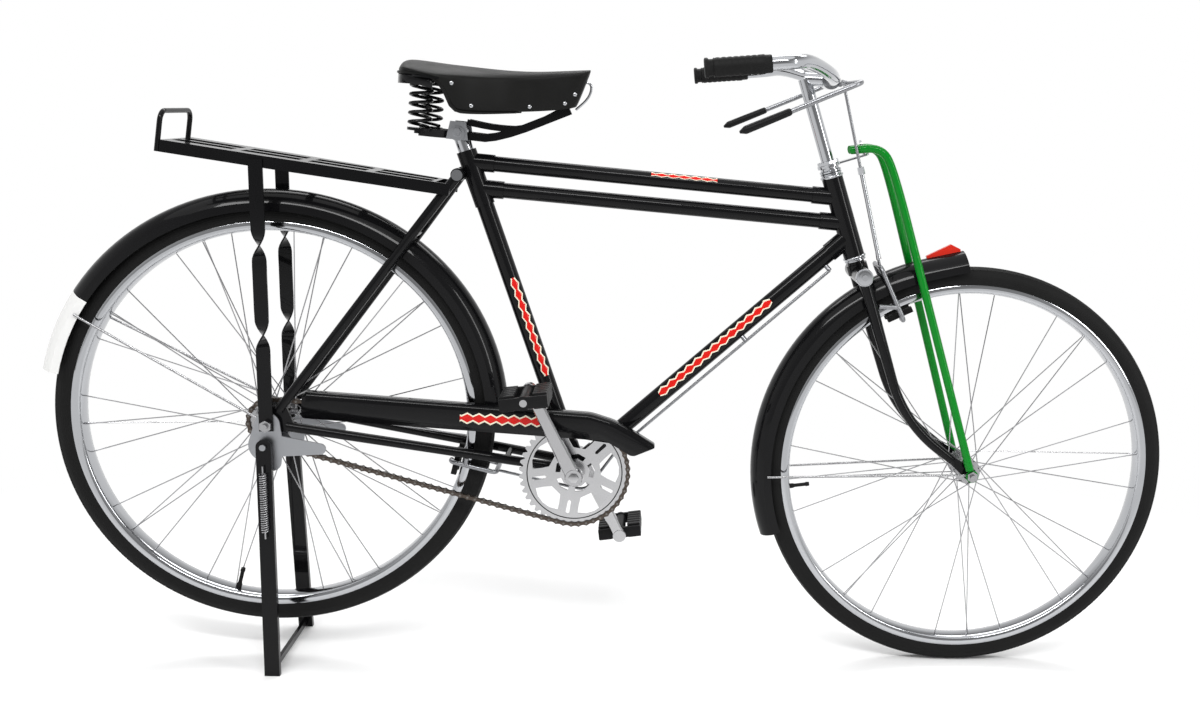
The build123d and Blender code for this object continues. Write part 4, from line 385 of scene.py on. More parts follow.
black_rubber = moulded("black_rubber", (0.007, 0.007, 0.007, 1.0), 0.46, 1100.0, 0.0003)
valve_stem = [(0, 4.2), (0.15, 4.2), (0.25, 3.1), (0.8, 3.1), (0.83, 4), (1, 3.4)]
rim_inside, valve_length = 309, 34
for wheel, axle, along, up in (("front", front_axle, -301, -58), ("rear", rear_axle, -52, -298)):
    valve = bmesh.new()
    out = (ahead * along + above * up).normalized()
    base = axle + out * rim_inside * mm
    lathe(valve, base, base - out * valve_length * mm, valve_stem)
    piece(wheel + "_valve", valve, wheel + "_wheel", [black_rubber])


# ---------------------------------------------------------------- headset and lamp bracket
# Turned and plated headset cups with round lips, a stepped locknut above them with flats at
# its top, and a strap ahead of it whose tongue stands up to hold a lamp. Two plated caps
# close the ends of the fork crown.
def placed(spot, x, y, z):
    """A frame at a place, from its three directions."""
    return Matrix.Translation(spot) @ Matrix((x, y, z)).transposed().to_4x4()


def oblong(half_wide, half_deep):
    """A rectangular outline in metres, from its halves in millimetres."""
    x, y = half_wide * mm, half_deep * mm
    return [(-x, -y), (x, -y), (x, y), (-x, y)]


steer_slope = 0.40403
steer_line = (above - ahead * steer_slope).normalized()
steer_ahead = across.cross(steer_line)
head_high, head_low = level(-287.5, 482), level(-235.8, 354)
cup = [(14.5, 0), (18.6, 0), (19.9, 1.2), (20, 3.2), (18.9, 4.5), (17.4, 5), (17.4, 6), (18.5, 6.8)]
cup += [(18.5, 8.2), (17.4, 9), (14.5, 9)]
cup_steps = 40
cups = bmesh.new()
spun(cups, head_high, steer_line, cup, cup_steps)
spun(cups, head_low, -steer_line, cup, cup_steps)
piece("headset_rings", cups, "frame", [chrome], ["headset_cups"], 50)

locknut = [(11, 0), (17.4, 0), (18.6, 0.9), (18.6, 3.4), (17.4, 4.3), (16, 4.7), (16, 8.2), (19, 8.6)]
locknut += [(19.6, 9.4), (19.6, 13.4), (19, 14.2), (16.6, 14.4), (16.6, 15.2), (11, 15.2)]
nut_lift, flats_low, flats_high, flats = 9.5, 15, 20, 8
bracketry = bmesh.new()
nut_foot = head_high + steer_line * nut_lift * mm
spun(bracketry, nut_foot, steer_line, locknut, cup_steps)
lathe(bracketry, nut_foot + steer_line * flats_low * mm, nut_foot + steer_line * flats_high * mm,
      [(0, 18.2), (0.8, 18.2), (1, 17)], flats)
strap_axes = (steer_ahead, across, steer_line)
strap_length, strap_half, strap_low, strap_high = 62.0, 9.0, 10, 13
round_steps = 8
strap = []
for middle_at, start in ((strap_length, -pi / 2), (0.0, pi / 2)):
    for number in range(round_steps + 1):
        turn = start + pi * number / round_steps
        strap.append(((middle_at + strap_half * cos(turn)) * mm, strap_half * sin(turn) * mm))
planes = []
for height in (strap_low, strap_high):
    planes.append(placed(nut_foot + steer_line * height * mm, *strap_axes))
swept(bracketry, planes, [strap, strap])
tongue_half = 1.6
planes, outlines = [], []
for height, half in ((11, 7.5), (26, 7.5), (32, 6.6), (35.5, 4.6), (37.5, 2)):
    spot = nut_foot + (steer_ahead * strap_length + steer_line * height) * mm
    planes.append(placed(spot, *strap_axes))
    outlines.append(oblong(tongue_half, half))
swept(bracketry, planes, outlines)
crown, cap_inner, cap_outer, cap_sides = (-224.1, 325), 60, 65, 28
for hand in (1, -1):
    lathe(bracketry, level(*crown, cap_inner * hand), level(*crown, cap_outer * hand),
          [(0, 15), (0.8, 15), (1, 14)], cap_sides)
piece("lamp_bracket", bracketry, "steering", [chrome], ["fork_fittings"], 35)

# ---------------------------------------------------------------- saddle cover
# The padded top of the saddle: black grained hide, broad at the back and narrow at the nose,
# whose skirt hangs deep at the sides and is cut short at the back.
black_hide = moulded("black_hide", (0.006, 0.006, 0.0057, 1.0), 0.34, 700.0, 0.0005)


def between(place, knots):
    """The height of a smooth line through knots at a place."""
    if place <= knots[0][0]:
        return knots[0][1]
    for number in range(len(knots) - 1):
        (start, low), (end, high) = knots[number:number + 2]
        if place <= end:
            before, after = knots[max(number - 1, 0)], knots[min(number + 2, len(knots) - 1)]
            rise = (high - before[1]) / (end - before[0]) * (end - start)
            fall = (after[1] - low) / (after[0] - start) * (end - start)
            share = (place - start) / (end - start)
            ease = share * share * (3 - 2 * share)
            bend = rise * share * (1 - share) ** 2 - fall * share * share * (1 - share)
            return low + (high - low) * ease + bend
    return knots[-1][1]


saddle_back = -997.5
half_knots = [(0, 62), (8, 86), (24, 99), (64, 105), (112, 88), (165, 47), (225, 29)]
half_knots += [(272, 24), (290, 19), (296, 10)]
top_knots = [(0, 600), (12, 605), (80, 603.5), (190, 604.5), (296, 618)]
low_knots = [(0, 583), (40, 583), (64, 577), (78, 560), (88, 540), (102, 531), (190, 538)]
low_knots += [(270, 548), (296, 554)]
crown_knots = [(0, 13), (64, 20), (165, 15), (296, 7)]


def arch(place):
    """The saddle's section at a distance from its back, from one skirt over to the other."""
    half, top = between(place, half_knots), between(place, top_knots)
    low, crown = between(place, low_knots), between(place, crown_knots)
    brow = top - crown
    hem = min(low, brow - 2)
    right = [(0.96, hem), (0.995, (hem + brow) / 2), (1.0, brow)]
    right += [(share, top - crown * share**3.2) for share in (0.95, 0.84, 0.66, 0.44, 0.22)]
    left = [(-share, up) for share, up in reversed(right)]
    return [(share * half * mm, up * mm) for share, up in right + [(0.0, top)] + left]


stations = [0, 3, 8, 15, 24, 38, 50, 60, 70, 79, 88, 96, 104, 112, 122, 136, 150, 166, 184]
stations += [205, 228, 250, 268, 280, 288, 293, 296]


def lean_back(place, up):
    """How far the skirt of the nose leans back under its top."""
    return (between(place, top_knots) - up) * between(place, [(190, 0), (296, 0.3)])


arches = [arch(place) for place in stations]
planes = [placed(level(saddle_back + place, 0), across, above, ahead) for place in stations]
cover = bmesh.new()
swept(cover, planes, arches, closed=False)
for end in (0, -1):
    rim = [vert for vert in cover.verts if abs((planes[end].inverted() @ vert.co).z) < 1e-6]
    bmesh.ops.contextual_create(cover, geom=rim)
for vert in cover.verts:
    spot = vert.co - front_axle
    place, up = spot.dot(ahead) / mm - saddle_back, spot.dot(above) / mm
    vert.co -= ahead * lean_back(place, up) * mm
saddle = piece("saddle_skin", cover, "frame", [black_hide], ["saddle_cover"], 60)
shell = saddle.modifiers.new("shell", "SOLIDIFY")
shell.thickness = 4 * mm
shell.offset = -1.0
smoother = saddle.modifiers.new("smoother", "SUBSURF")
smoother.levels = smoother.render_levels = 2

# ---------------------------------------------------------------- saddle piping, band and rivets
# A round welt along the cover's lower edge that thins forward, the sheet band under it at the
# back, and bright flat rivets in the skirt.
piping_end, piping_radius, piping_sides = 184, 2.4, 8
piping = bmesh.new()
edge = []
for number, place in enumerate(stations):
    if place <= piping_end:
        x, y = arches[number][0]
        edge.append(planes[number] @ Vector((x, y, 0)))
other = [Vector((point.x, -point.y, point.z)) for point in edge]
welt = edge[::-1] + other
thinning = [(0, piping_radius), (96, piping_radius), (piping_end, 1.1)]
fade = [between(place, thinning) for place in stations[:len(edge)]]
swept(piping, frames_along(welt), [ring(radius, piping_sides) for radius in fade[::-1] + fade])
piece("saddle_piping", piping, "frame", [black_hide])

band_top, band_foot, band_stations = 1, 17, 8
band = bmesh.new()
rails = []
for drop in (band_top, band_foot):
    points = edge[band_stations - 1::-1] + other[:band_stations]
    rail = [band.verts.new(point - above * drop * mm) for point in points]
    rails.append([band.edges.new(pair) for pair in zip(rail, rail[1:])])
bmesh.ops.bridge_loops(band, edges=rails[0] + rails[1])
cantle = piece("cantle_band", band, "frame", [black_enamel])
cantle.modifiers.new("sheet", "SOLIDIFY").thickness = 2.5 * mm

rivet_radius, rivet_flat, rivet_sink = 3.6 * mm, 0.55, 0.985
rivets = bmesh.new()
for place, up in ((118, 542), (206, 549), (271, 560), (284, 576), (88, 574)):
    for hand in (1, -1):
        along = saddle_back + place - lean_back(place, up)
        seat = level(along, up, between(place, half_knots) * rivet_sink * hand)
        flat = Matrix.Translation(seat) @ Matrix.Diagonal((1.0, rivet_flat, 1.0, 1.0))
        ball = {"u_segments": 12, "v_segments": 8, "radius": rivet_radius, "matrix": flat}
        bmesh.ops.create_uvsphere(rivets, **ball)
piece("saddle_rivets", rivets, "frame", [chrome])
coat(black_enamel, "saddle_cantle")


# ---------------------------------------------------------------- saddle frame
# Flat strips on edge that run from the spring seats past the post's clip to the nose, the
# clip's two cheeks with their nuts, and a wire hook at the nose.
def rounded(points, cuts=3):
    """A path with its corners cut round."""
    for cut in range(cuts):
        smooth = [points[0]]
        for first, second in zip(points, points[1:]):
            smooth += [first.lerp(second, 0.25), first.lerp(second, 0.75)]
        points = smooth + [points[-1]]
    return points


strip_half, spring_seat = 1.8, 9
strips = bmesh.new()
lower = [(-961.5, 493, 52), (-940, 492, 34), (-917, 492, 18), (-893, 492, 18), (-845, 491, 15)]
lower += [(-731, 549, 10)]
upper = [(-893, 514, 15), (-850, 509, 14), (-800, 511, 13), (-742, 549, 9)]
for hand in (1, -1):
    for route, tall in ((lower, 6.5), (upper, 5.0)):
        path = rounded([level(along, up, side * hand) for along, up, side in route], 2)
        planes = []
        for number, point in enumerate(path):
            run = path[min(number + 1, len(path) - 1)] - path[max(number - 1, 0)]
            thick = run.cross(above).normalized()
            planes.append(placed(point, thick, run.cross(thick).normalized(), run.normalized()))
        swept(strips, planes, [oblong(strip_half, tall)] * len(planes))
    seat = level(-961.5, 490, 52 * hand)
    lathe(strips, seat, seat + above * spring_seat * mm, [(0, 8), (0.4, 8), (0.5, 19), (1, 19)], 20)
cheek = [(-918, 514), (-893, 514), (-888, 485), (-923, 485)]
cheek_inner, cheek_outer, nut_thick = 26, 30, 5
clips = bmesh.new()
for hand in (1, -1):
    planes = []
    for side in (cheek_inner, cheek_outer):
        planes.append(placed(level(0, 0, side * hand), ahead, above, across))
    swept(clips, planes, [[(along * mm, up * mm) for along, up in cheek]] * 2)
    nut = level(-905.5, 498, cheek_outer * hand)
    nut_end = nut + across * nut_thick * hand * mm
    lathe(clips, nut, nut_end, [(0, 9.5), (0.5, 9.5), (0.55, 7), (1, 6.4)], 6)
piece("clip_cheeks", clips, "frame", [zinc])

hook = bmesh.new()
hook_knots = [(-711, 598), (-698, 594), (-702, 572), (-722, 551)]
hook_path = rounded([level(along, up) for along, up in hook_knots])
swept(hook, frames_along(hook_path), [ring(2.2, 10)] * len(hook_path))
piece("nose_hook", hook, "frame", [chrome])
piece("saddle_strips", strips, "frame", [black_enamel], ["saddle_frame"], 30)


# ---------------------------------------------------------------- springs
# Round wire coils: two thick black ones under the back of the saddle, and a close-wound
# plated one that holds the stand up or down, with a hook at each end.
def coil(mesh, foot, axis, radius, wire, turns, rise):
    """A coil of round wire that winds up an axis."""
    aside = axis.orthogonal().normalized()
    heading = (axis.cross(aside) * tau * radius + axis * rise / turns).normalized()
    start = frames_along([foot + aside * radius * mm, foot + aside * radius * mm + heading * mm])[0]
    made = bmesh.ops.create_circle(mesh, segments=8, radius=wire * mm, matrix=start)
    edges = list({edge for vert in made["verts"] for edge in vert.link_edges})
    steps = turns * 18
    turn = {"cent": foot, "axis": axis, "angle": tau * turns, "steps": steps}
    bmesh.ops.spin(mesh, geom=made["verts"] + edges, dvec=axis * rise * mm / steps, **turn)


coil_radius, coil_wire, coil_turns, coil_rise = 16.5, 2.7, 5, 73
springs = bmesh.new()
for hand in (1, -1):
    foot = level(-961.5, 501, 52 * hand)
    coil(springs, foot, above, coil_radius, coil_wire, coil_turns, coil_rise)
piece("saddle_coils", springs, "frame", [black_enamel], ["saddle_springs"])

close_radius, close_wire, close_turns, hook_wire = 4.9, 1.1, 26, 1.2
wound_start, wound_share = 0.1, 0.8
inset, offset = 6 * mm, 4 * mm
low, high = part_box("stand_spring")
mid_side = (low.y + high.y) / 2
spring_top = Vector((low.x + inset, mid_side + offset, high.z - inset))
spring_low = Vector((high.x - inset, mid_side - offset, low.z + inset))
stand_coil = bmesh.new()
hang = spring_low - spring_top
wound = hang.length / mm * wound_share
coil(stand_coil, spring_top + hang * wound_start, hang.normalized(), close_radius, close_wire,
     close_turns, wound)
for start, end in ((spring_top, 0.11), (spring_low, 0.89)):
    lathe(stand_coil, start, spring_top + hang * end, [(0, hook_wire), (1, hook_wire)], 8)
piece("stand_coil", stand_coil, "stand", [bright_steel], ["stand_spring"])

# ---------------------------------------------------------------- brake rod and crown caps
# The tube that covers the lower half of the front brake rod, closed by a hexagon nut, and the
# stepped faces of the two caps on the fork crown.
rod_cover = bmesh.new()
yoke, knuckle = level(-192.5, 342, -22), level(-287.3, 633, -26)
cover_foot, cover_top, nut_top = [yoke.lerp(knuckle, share) for share in (0.04, 0.52, 0.56)]
lathe(rod_cover, cover_foot, cover_top, [(0, 4.4), (0.1, 3.7), (1, 3.7)], 14)
lathe(rod_cover, cover_top, nut_top, [(0, 6.2), (1, 6.2)], 6)
cap_steps = [(0, 12.4), (0.3, 12.4), (0.34, 9.5), (0.55, 9.5), (0.58, 5.2), (1, 5.2)]
face_inner, face_outer = 64.6, 68
for hand in (1, -1):
    lathe(rod_cover, level(*crown, face_inner * hand), level(*crown, face_outer * hand), cap_steps, 22)
piece("rod_sleeve", rod_cover, "steering", [chrome])

# ---------------------------------------------------------------- handlebar
# One plated tube: straight under the grips, then bent inward and forward, and dropped a
# little to the stem.
half_bar = [(-523.3, 633, 264), (-429, 649.2, 264), (-395.3, 655, 264), (-367.3, 661, 214)]
half_bar += [(-309.3, 642, 105)]
bar_radius, bar_sides = 11.1, 18
tube = [level(along, up, side) for along, up, side in half_bar]
tube += [level(along, up, -side) for along, up, side in reversed(half_bar)]
bar = bmesh.new()
bar_path = rounded(tube)
swept(bar, frames_along(bar_path), [ring(bar_radius, bar_sides)] * len(bar_path))
piece("bar_tube", bar, "steering", [chrome], ["handlebar"])

# ---------------------------------------------------------------- grips, sleeves and shoes
# Moulded black grips with finger ridges and a flared end, sleeves pushed over the free ends
# of the levers and drawn to a point, and the rubber shoes of both brakes.
black_plastic = moulded("black_plastic", (0.007, 0.007, 0.0075, 1.0), 0.34, 1400.0, 0.0002)
grip_start, grip_past, grip_sides = 35, 4, 18
ridges, first_ridge, ridge_pitch = 7, 0.22, 0.09
sleeve_past, sleeve_length, sleeve_sides, sleeve_flat = 8, 76, 12, 0.8
grip = [(0, 12.4), (0.015, 13.4), (0.1, 13.6), (0.12, 14.6), (0.2, 14.4)]
for number in range(ridges):
    start = first_ridge + number * ridge_pitch
    grip += [(start, 13.7), (start + 0.025, 14.4), (start + 0.06, 14.4), (start + 0.08, 13.7)]
grip += [(0.86, 14.2), (0.87, 12.6), (0.93, 12.6), (0.95, 14.9), (0.99, 14.9), (1.0, 12.5)]
sleeve = [(0, 2.4), (0.1, 7.4), (0.13, 7.9), (0.5, 7.7), (0.96, 7.2), (0.99, 6.4), (1, 4.6)]
grips = bmesh.new()
sleeves = bmesh.new()
for hand in (1, -1):
    bend, end = level(-395.3, 655, 264 * hand), level(-523.3, 633, 264 * hand)
    line = (end - bend).normalized()
    lathe(grips, bend + line * grip_start * mm, end + line * grip_past * mm, grip, grip_sides)
    tip, elbow = level(-458.3, 549, 232 * hand), level(-287.3, 638, 216 * hand)
    line = (elbow - tip).normalized()
    lathe(sleeves, tip - line * sleeve_past * mm, tip + line * sleeve_length * mm, sleeve,
          sleeve_sides, sleeve_flat)
piece("grip_skins", grips, "steering", [black_rubber], ["grips"], 50)
piece("sleeve_skins", sleeves, "steering", [black_plastic], ["lever_sleeves"], 50)
coat(black_rubber, "front_shoes", "rear_shoes")

# ---------------------------------------------------------------- fork stays and fin
# Two bright green tubes from the lamp bracket down to the front axle, and a small red fin
# on the nose of the mudguard.
green_enamel = enamel("green_enamel", (0.0, 0.19, 0.012, 1.0))
stay_route = [(-262, 531, 10), (-214, 541, 28), (-190, 505, 35), (-120, 318, 46), (-5.5, 11, 64)]
stay_radius, eye_radius, eye_inner, eye_outer = 7, 10.8, 62.5, 65.5
stays = bmesh.new()
for hand in (1, -1):
    path = rounded([level(along, up, side * hand) for along, up, side in stay_route])
    swept(stays, frames_along(path), [ring(stay_radius, 16)] * len(path))
    eye_profile = [(0, eye_radius), (1, eye_radius)]
    lathe(stays, level(0, 0, eye_inner * hand), level(0, 0, eye_outer * hand), eye_profile, 20)
piece("stay_tubes", stays, "steering", [green_enamel], ["fork_supports"])
coat(enamel("red_plastic", (0.6, 0.02, 0.008, 1.0)), "mudguard_ornament")

# ---------------------------------------------------------------- chain
# A half inch roller chain of 110 links, dark with oil, in pairs of inner and outer plates
# round the chainring and the sprocket.
ring_radius, sprocket_radius, chain_pitch = 88.99, 36.57, 12.7
chain_side = -44.0
gear = Vector((rear_axle.x, 0, rear_axle.z))
crank_axle = Vector((bracket.x, 0, bracket.z))
span = (crank_axle - gear).length / mm
stay_turn = atan2(crank_axle.z - gear.z, crank_axle.x - gear.x)
lean = asin((ring_radius - sprocket_radius) / span)
run_length = span * cos(lean)
ring_wrap = (pi + 2 * lean) * ring_radius
gear_wrap = (pi - 2 * lean) * sprocket_radius


def pin(number):
    """The place of a chain pin along the loop."""
    far = number * chain_pitch
    for hub, radius, start, wrap in ((crank_axle, ring_radius, pi / 2 + lean, ring_wrap),
                                     (gear, sprocket_radius, -pi / 2 - lean, gear_wrap)):
        turn = stay_turn + start
        out = Vector((cos(turn), 0, sin(turn)))
        if far < run_length:
            heading = Vector((out.z, 0, -out.x))
            return hub + (out * radius - heading * (run_length - far)) * mm
        far -= run_length
        if far < wrap:
            turn -= far / radius
            return hub + Vector((cos(turn), 0, sin(turn))) * radius * mm
        far -= wrap
    return pin(0)


links = bmesh.new()
pins = bmesh.new()
link_count = round((2 * run_length + ring_wrap + gear_wrap) / chain_pitch)
waist = [(-6.35, 4.3), (-3.2, 3.0), (0, 2.3), (3.2, 3.0), (6.35, 4.3)]
plate = [(-9.9, 2.2), *waist, (9.9, 2.2), (9.9, -2.2)]
plate += [(x, -y) for x, y in reversed(waist)] + [(-9.9, -2.2)]
plate = [(x * mm, y * mm) for x, y in plate]
inner_gap, outer_gap, plate_half, pin_half = 2.9, 4.1, 0.5, 4.9
roller = [(0, 1.9), (0.2, 1.9), (0.21, 3.9), (0.79, 3.9), (0.8, 1.9), (1, 1.9)]
for number in range(link_count):
    first, second = pin(number), pin(number + 1)
    heading = (second - first).normalized()
    gap = inner_gap if number % 2 else outer_gap
    for side in (gap, -gap):
        planes = []
        for depth in (-plate_half, plate_half):
            spot = (first + second) / 2 + across * (chain_side + side + depth) * mm
            planes.append(placed(spot, heading, heading.cross(across), across))
        swept(links, planes, [plate, plate])
    near, far = [first + across * (chain_side + end) * mm for end in (-pin_half, pin_half)]
    lathe(pins, near, far, roller, 8)
piece("chain_links", links, "frame", [chain_steel], ["chain"], 30)
pin_steel = plated("pin_steel", (0.2, 0.19, 0.18, 1.0), 0.3, 0.46, 500.0)
piece("chain_pins", pins, "frame", [pin_steel])

# ---------------------------------------------------------------- chainring and cranks
# A pressed 44 tooth chainring, cut through between its arms and slotted along them, with the
# shade of a groove painted as a dark ring inside the teeth. Steel cranks taper from round
# bosses to the pedals' eyes.
ring_groove_shade = plated("ring_groove_shade", (0.54, 0.54, 0.55, 1.0), 0.14, 0.28, 700.0)
ring_shader = ring_groove_shade.node_tree.nodes["Principled BSDF"]
ring_place = Wire(ring_groove_shade.node_tree).node("TexCoord", out="Object")
ring_bright = Wire(ring_groove_shade.node_tree, ring_shader.inputs["Base Color"].links[0].from_socket)
# Painted shade: a dark ring of colour at 79 mm stands in for the shade inside a groove, which the flat
# ring doesn't have.
painted_groove_shade = abs(ring_place.around(crank_axle) - 79 * mm) < 0.9 * mm
feed(ring_shader, Base_Color=painted_groove_shade.tint(ring_bright, (0.02, 0.02, 0.02, 1.0)))

crank_turn = radians(117.5) + pitch
ring_teeth, ring_arms = 44, 5
tooth = tau / ring_teeth
cuts = [[]]
for number in range(ring_teeth):
    for share, reach in ((-0.42, 86.4), (-0.14, 92.3), (0.14, 92.3), (0.42, 86.4)):
        cuts[0].append((reach, (number + share) * tooth))
window = [(44, -13), (56, -19), (70, -22), (73.5, -11), (74.5, 0), (73.5, 11), (70, 22)]
window += [(56, 19), (44, 13)]
slot = [(50, -3), (70, -2.6), (72, 0), (70, 2.6), (50, 3), (47.5, 0)]
hub_slot = [(24, -24), (32, -25), (34, 0), (32, 25), (24, 24), (25, 0)]
for number in range(ring_arms):
    arm = crank_turn + tau * number / ring_arms
    for shape, turn in ((window, tau / ring_arms / 2), (slot, 0.0), (hub_slot, tau / ring_arms / 2)):
        cuts.append([(reach, arm + turn + radians(angle)) for reach, angle in shape])
axle_hole, hole_sides, ring_face, ring_thick = 8.6, 24, -45.3, 2.6
cuts.append([(axle_hole, tau * number / hole_sides) for number in range(hole_sides)])
disc = bmesh.new()
outlines = []
for cut in cuts:
    points = []
    for reach, turn in cut:
        away = ahead * cos(turn) + above * sin(turn)
        points.append(disc.verts.new(crank_axle + away * reach * mm + across * ring_face * mm))
    outlines += [disc.edges.new(pair) for pair in zip(points, points[1:] + points[:1])]
bmesh.ops.triangle_fill(disc, edges=outlines, use_beauty=True)
made = bmesh.ops.extrude_face_region(disc, geom=disc.faces[:])["geom"]
inward = [item for item in made if isinstance(item, bmesh.types.BMVert)]
bmesh.ops.translate(disc, verts=inward, vec=across * ring_thick * mm)
piece("ring_star", disc, "crankset", [ring_groove_shade], ["chainring"], 30)

crank_length, crank_inner, crank_outer, crank_middle = 165, 62, 76, 69
boss_inner, bolt_inner, bolt_outer, pin_inner, pin_outer = 45.6, 75.5, 79, 75, 169
crank_edge, crank_half, soft_edge, soft_back = 3.2, 6.2, 2.4, 2
boss = [(0, 16), (0.5, 16.6), (0.52, 15), (0.93, 15), (1, 13.5)]
bolt = [(0, 8.6), (0.8, 8.6), (1, 7)]
pedal_eye = [(0, 10.6), (0.1, 11.6), (0.9, 11.6), (1, 10.6)]
arms = bmesh.new()
spindle = across * crank_outer * mm
lathe(arms, crank_axle - spindle, crank_axle + spindle, [(0, 8), (1, 8)], 20)
for hand in (1, -1):
    out = across * hand
    away = (ahead * cos(crank_turn) + above * sin(crank_turn)) * -hand
    eye = crank_axle + away * crank_length * mm
    for hub, inner, outer, profile, sides in ((crank_axle, boss_inner, crank_outer, boss, 24),
                                              (crank_axle, bolt_inner, bolt_outer, bolt, 6),
                                              (eye, crank_inner, crank_outer, pedal_eye, 24),
                                              (eye, pin_inner, pin_outer, [(0, 6), (1, 6)], 14)):
        lathe(arms, hub + out * inner * mm, hub + out * outer * mm, profile, sides)
    planes, outlines = [], []
    for reach, wide in ((4, 12), (30, 11.4), (70, 10.4), (120, 9.8), (161, 9.8)):
        spot = crank_axle + away * reach * mm + out * crank_middle * mm
        planes.append(placed(spot, away.cross(out), out, away))
        corner = [(wide, crank_edge), (wide - soft_edge, crank_half), (soft_back - wide, crank_half)]
        corner += [(-wide, crank_edge), (-wide, -crank_edge), (soft_back - wide, -crank_half)]
        corner += [(wide - soft_edge, -crank_half), (wide, -crank_edge)]
        outlines.append([(x * mm, y * mm) for x, y in corner])
    swept(arms, planes, outlines)
piece("crank_arms", arms, "crankset", [crank_steel], ["cranks"], 35)

# ---------------------------------------------------------------- chain case
# A half case of bent sheet over the chain's upper run, rounded along its top edge, open
# below and to the wheel, with a drooping nose ahead of the chainring.
case_row = [(level(-868, 32), level(-730, 36), 10 * mm)]
case_enamel = enamel("case_enamel", BLACK, case_row)
case = bmesh.new()
outline = [(-1122, 54.6), (-655, 54.6), (-616, 45), (-578, 27), (-541, 7), (-581, -13)]
outline += [(-604, 0), (-628, 11.4), (-1122, 11.4)]
case_side, case_depth, case_back = -53.8, 20.5, -1121
corner_round, fold_round, sheet_thick = 7 * mm, 9 * mm, 1.4 * mm
corners = [case.verts.new(level(along, up, case_side)) for along, up in outline]
case.faces.new(corners)
rounding = {"segments": 4, "profile": 0.5, "material": -1}
bmesh.ops.bevel(case, geom=corners, affect="VERTICES", offset=corner_round, **rounding)
rim = [edge for edge in case.edges if edge.is_boundary]
made = bmesh.ops.extrude_edge_only(case, edges=rim)["geom"]
inward = [item for item in made if isinstance(item, bmesh.types.BMVert)]
bmesh.ops.translate(case, verts=inward, vec=across * case_depth * mm)
bmesh.ops.recalc_face_normals(case, faces=case.faces)
open_faces = []
for face in case.faces:
    far = (face.calc_center_median() - front_axle).dot(ahead) / mm
    sheer = abs(face.normal.y) < 0.5
    if sheer and (face.normal.dot(above) < -0.3 or far < case_back):
        open_faces.append(face)
bmesh.ops.delete(case, geom=open_faces, context="FACES")
folds = []
for edge in case.edges:
    if len(edge.link_faces) == 2 and edge.calc_face_angle() > 1.0:
        folds.append(edge)
rounding = {"segments": 5, "profile": 0.5, "material": -1}
bmesh.ops.bevel(case, geom=folds, affect="EDGES", offset=fold_round, **rounding)
case_piece = piece("case_skin", case, "frame", [case_enamel], ["chain_case"], 50)
sheet = case_piece.modifiers.new("sheet", "SOLIDIFY")
sheet.thickness = sheet_thick
sheet.offset = -1.0

# ---------------------------------------------------------------- carrier
# A rear carrier of flat steel: a slatted deck with edge flanges, a wire hoop at the back,
# and two flat struts to the axle, each twisted twice for stiffness.
coat(black_enamel, "carrier_deck", "carrier_hoop")
strut_half, strut_thick, strut_side = 11.0, 1.5, 70.9
ease_in = 0.2
twists = [(0, 0), (112, 0), (126, ease_in), (178, pi - ease_in), (192, pi), (256, pi)]
twists += [(270, pi + ease_in), (322, tau - ease_in), (336, tau), (438, tau)]
heights = [0, 60, 110, *range(125, 185, 6), 200, 250, *range(270, 330, 6), 345, 395, 438]
struts = bmesh.new()
for hand in (1, -1):
    foot, head = level(-1170, -10, strut_side * hand), level(-1206, 428, strut_side * hand)
    upward = (head - foot).normalized()
    flat = upward.cross(across)
    planes = []
    for height in heights:
        turn = Matrix.Rotation(between(height, twists), 3, upward)
        planes.append(placed(foot + upward * height * mm, turn @ flat, turn @ across, upward))
    swept(struts, planes, [oblong(strut_half, strut_thick)] * len(planes))
piece("strut_strips", struts, "frame", [black_enamel], ["carrier_struts"], 30)

# ---------------------------------------------------------------- stand
# A rear stand of two flat legs joined by a bar behind the tyre, in the frame's enamel. Its
# solids have the whole shape, so they only take the finish.
coat(black_enamel, "stand_legs", "stand_bar")


# ---------------------------------------------------------------- pedals
# Block pedals: two rows of black tread blocks on bars between two end plates, round a tube
# that turns on the crank's pin. They rest at a slight tilt.
def block(mesh, centre, sizes):
    """A small moulded block with softened edges, turned as the pedal is."""
    shape = placed(centre, tread, across, lift) @ Matrix.Diagonal((*sizes, 1.0))
    made = bmesh.ops.create_cube(mesh, size=mm, matrix=shape)["verts"]
    edges = list({edge for vert in made for edge in vert.link_edges})
    soft = {"offset": min(sizes) * 0.14 * mm, "segments": 2, "profile": 0.5, "material": -1}
    bmesh.ops.bevel(mesh, geom=edges, affect="EDGES", **soft)


tilt = radians(11) - pitch
tread = Vector((cos(tilt), 0, sin(tilt)))
lift = Vector((-sin(tilt), 0, cos(tilt)))
block_size, bar_size, end_size = (23.0, 10.2, 25.6), (15.0, 80.0, 17.0), (75.6, 7.0, 19.0)
pedal_inner, row_reach, row_blocks, first_block, block_pitch = 79, 26, 6, 13, 12.8
bar_middle, tube_start, tube_end, plate_places = 45, 1, 89, (4, 86)
pedal_tube = [(0, 9.8), (0.9, 9.8), (0.92, 11.5), (1, 11)]
for name, hand in (("left", 1), ("right", -1)):
    pedal = bmesh.new()
    node = name + "_pedal"
    eye = middle(node)
    start = Vector((eye.x, pedal_inner * mm * hand, eye.z))
    out = across * hand
    for row in (-row_reach, row_reach):
        for number in range(row_blocks):
            far = first_block + number * block_pitch
            block(pedal, start + tread * row * mm + out * far * mm, block_size)
        block(pedal, start + tread * row * mm + out * bar_middle * mm, bar_size)
    for far in plate_places:
        block(pedal, start + out * far * mm, end_size)
    lathe(pedal, start + out * tube_start * mm, start + out * tube_end * mm, pedal_tube, 18)
    piece(node + "_blocks", pedal, node, [black_plastic], [node], 35)

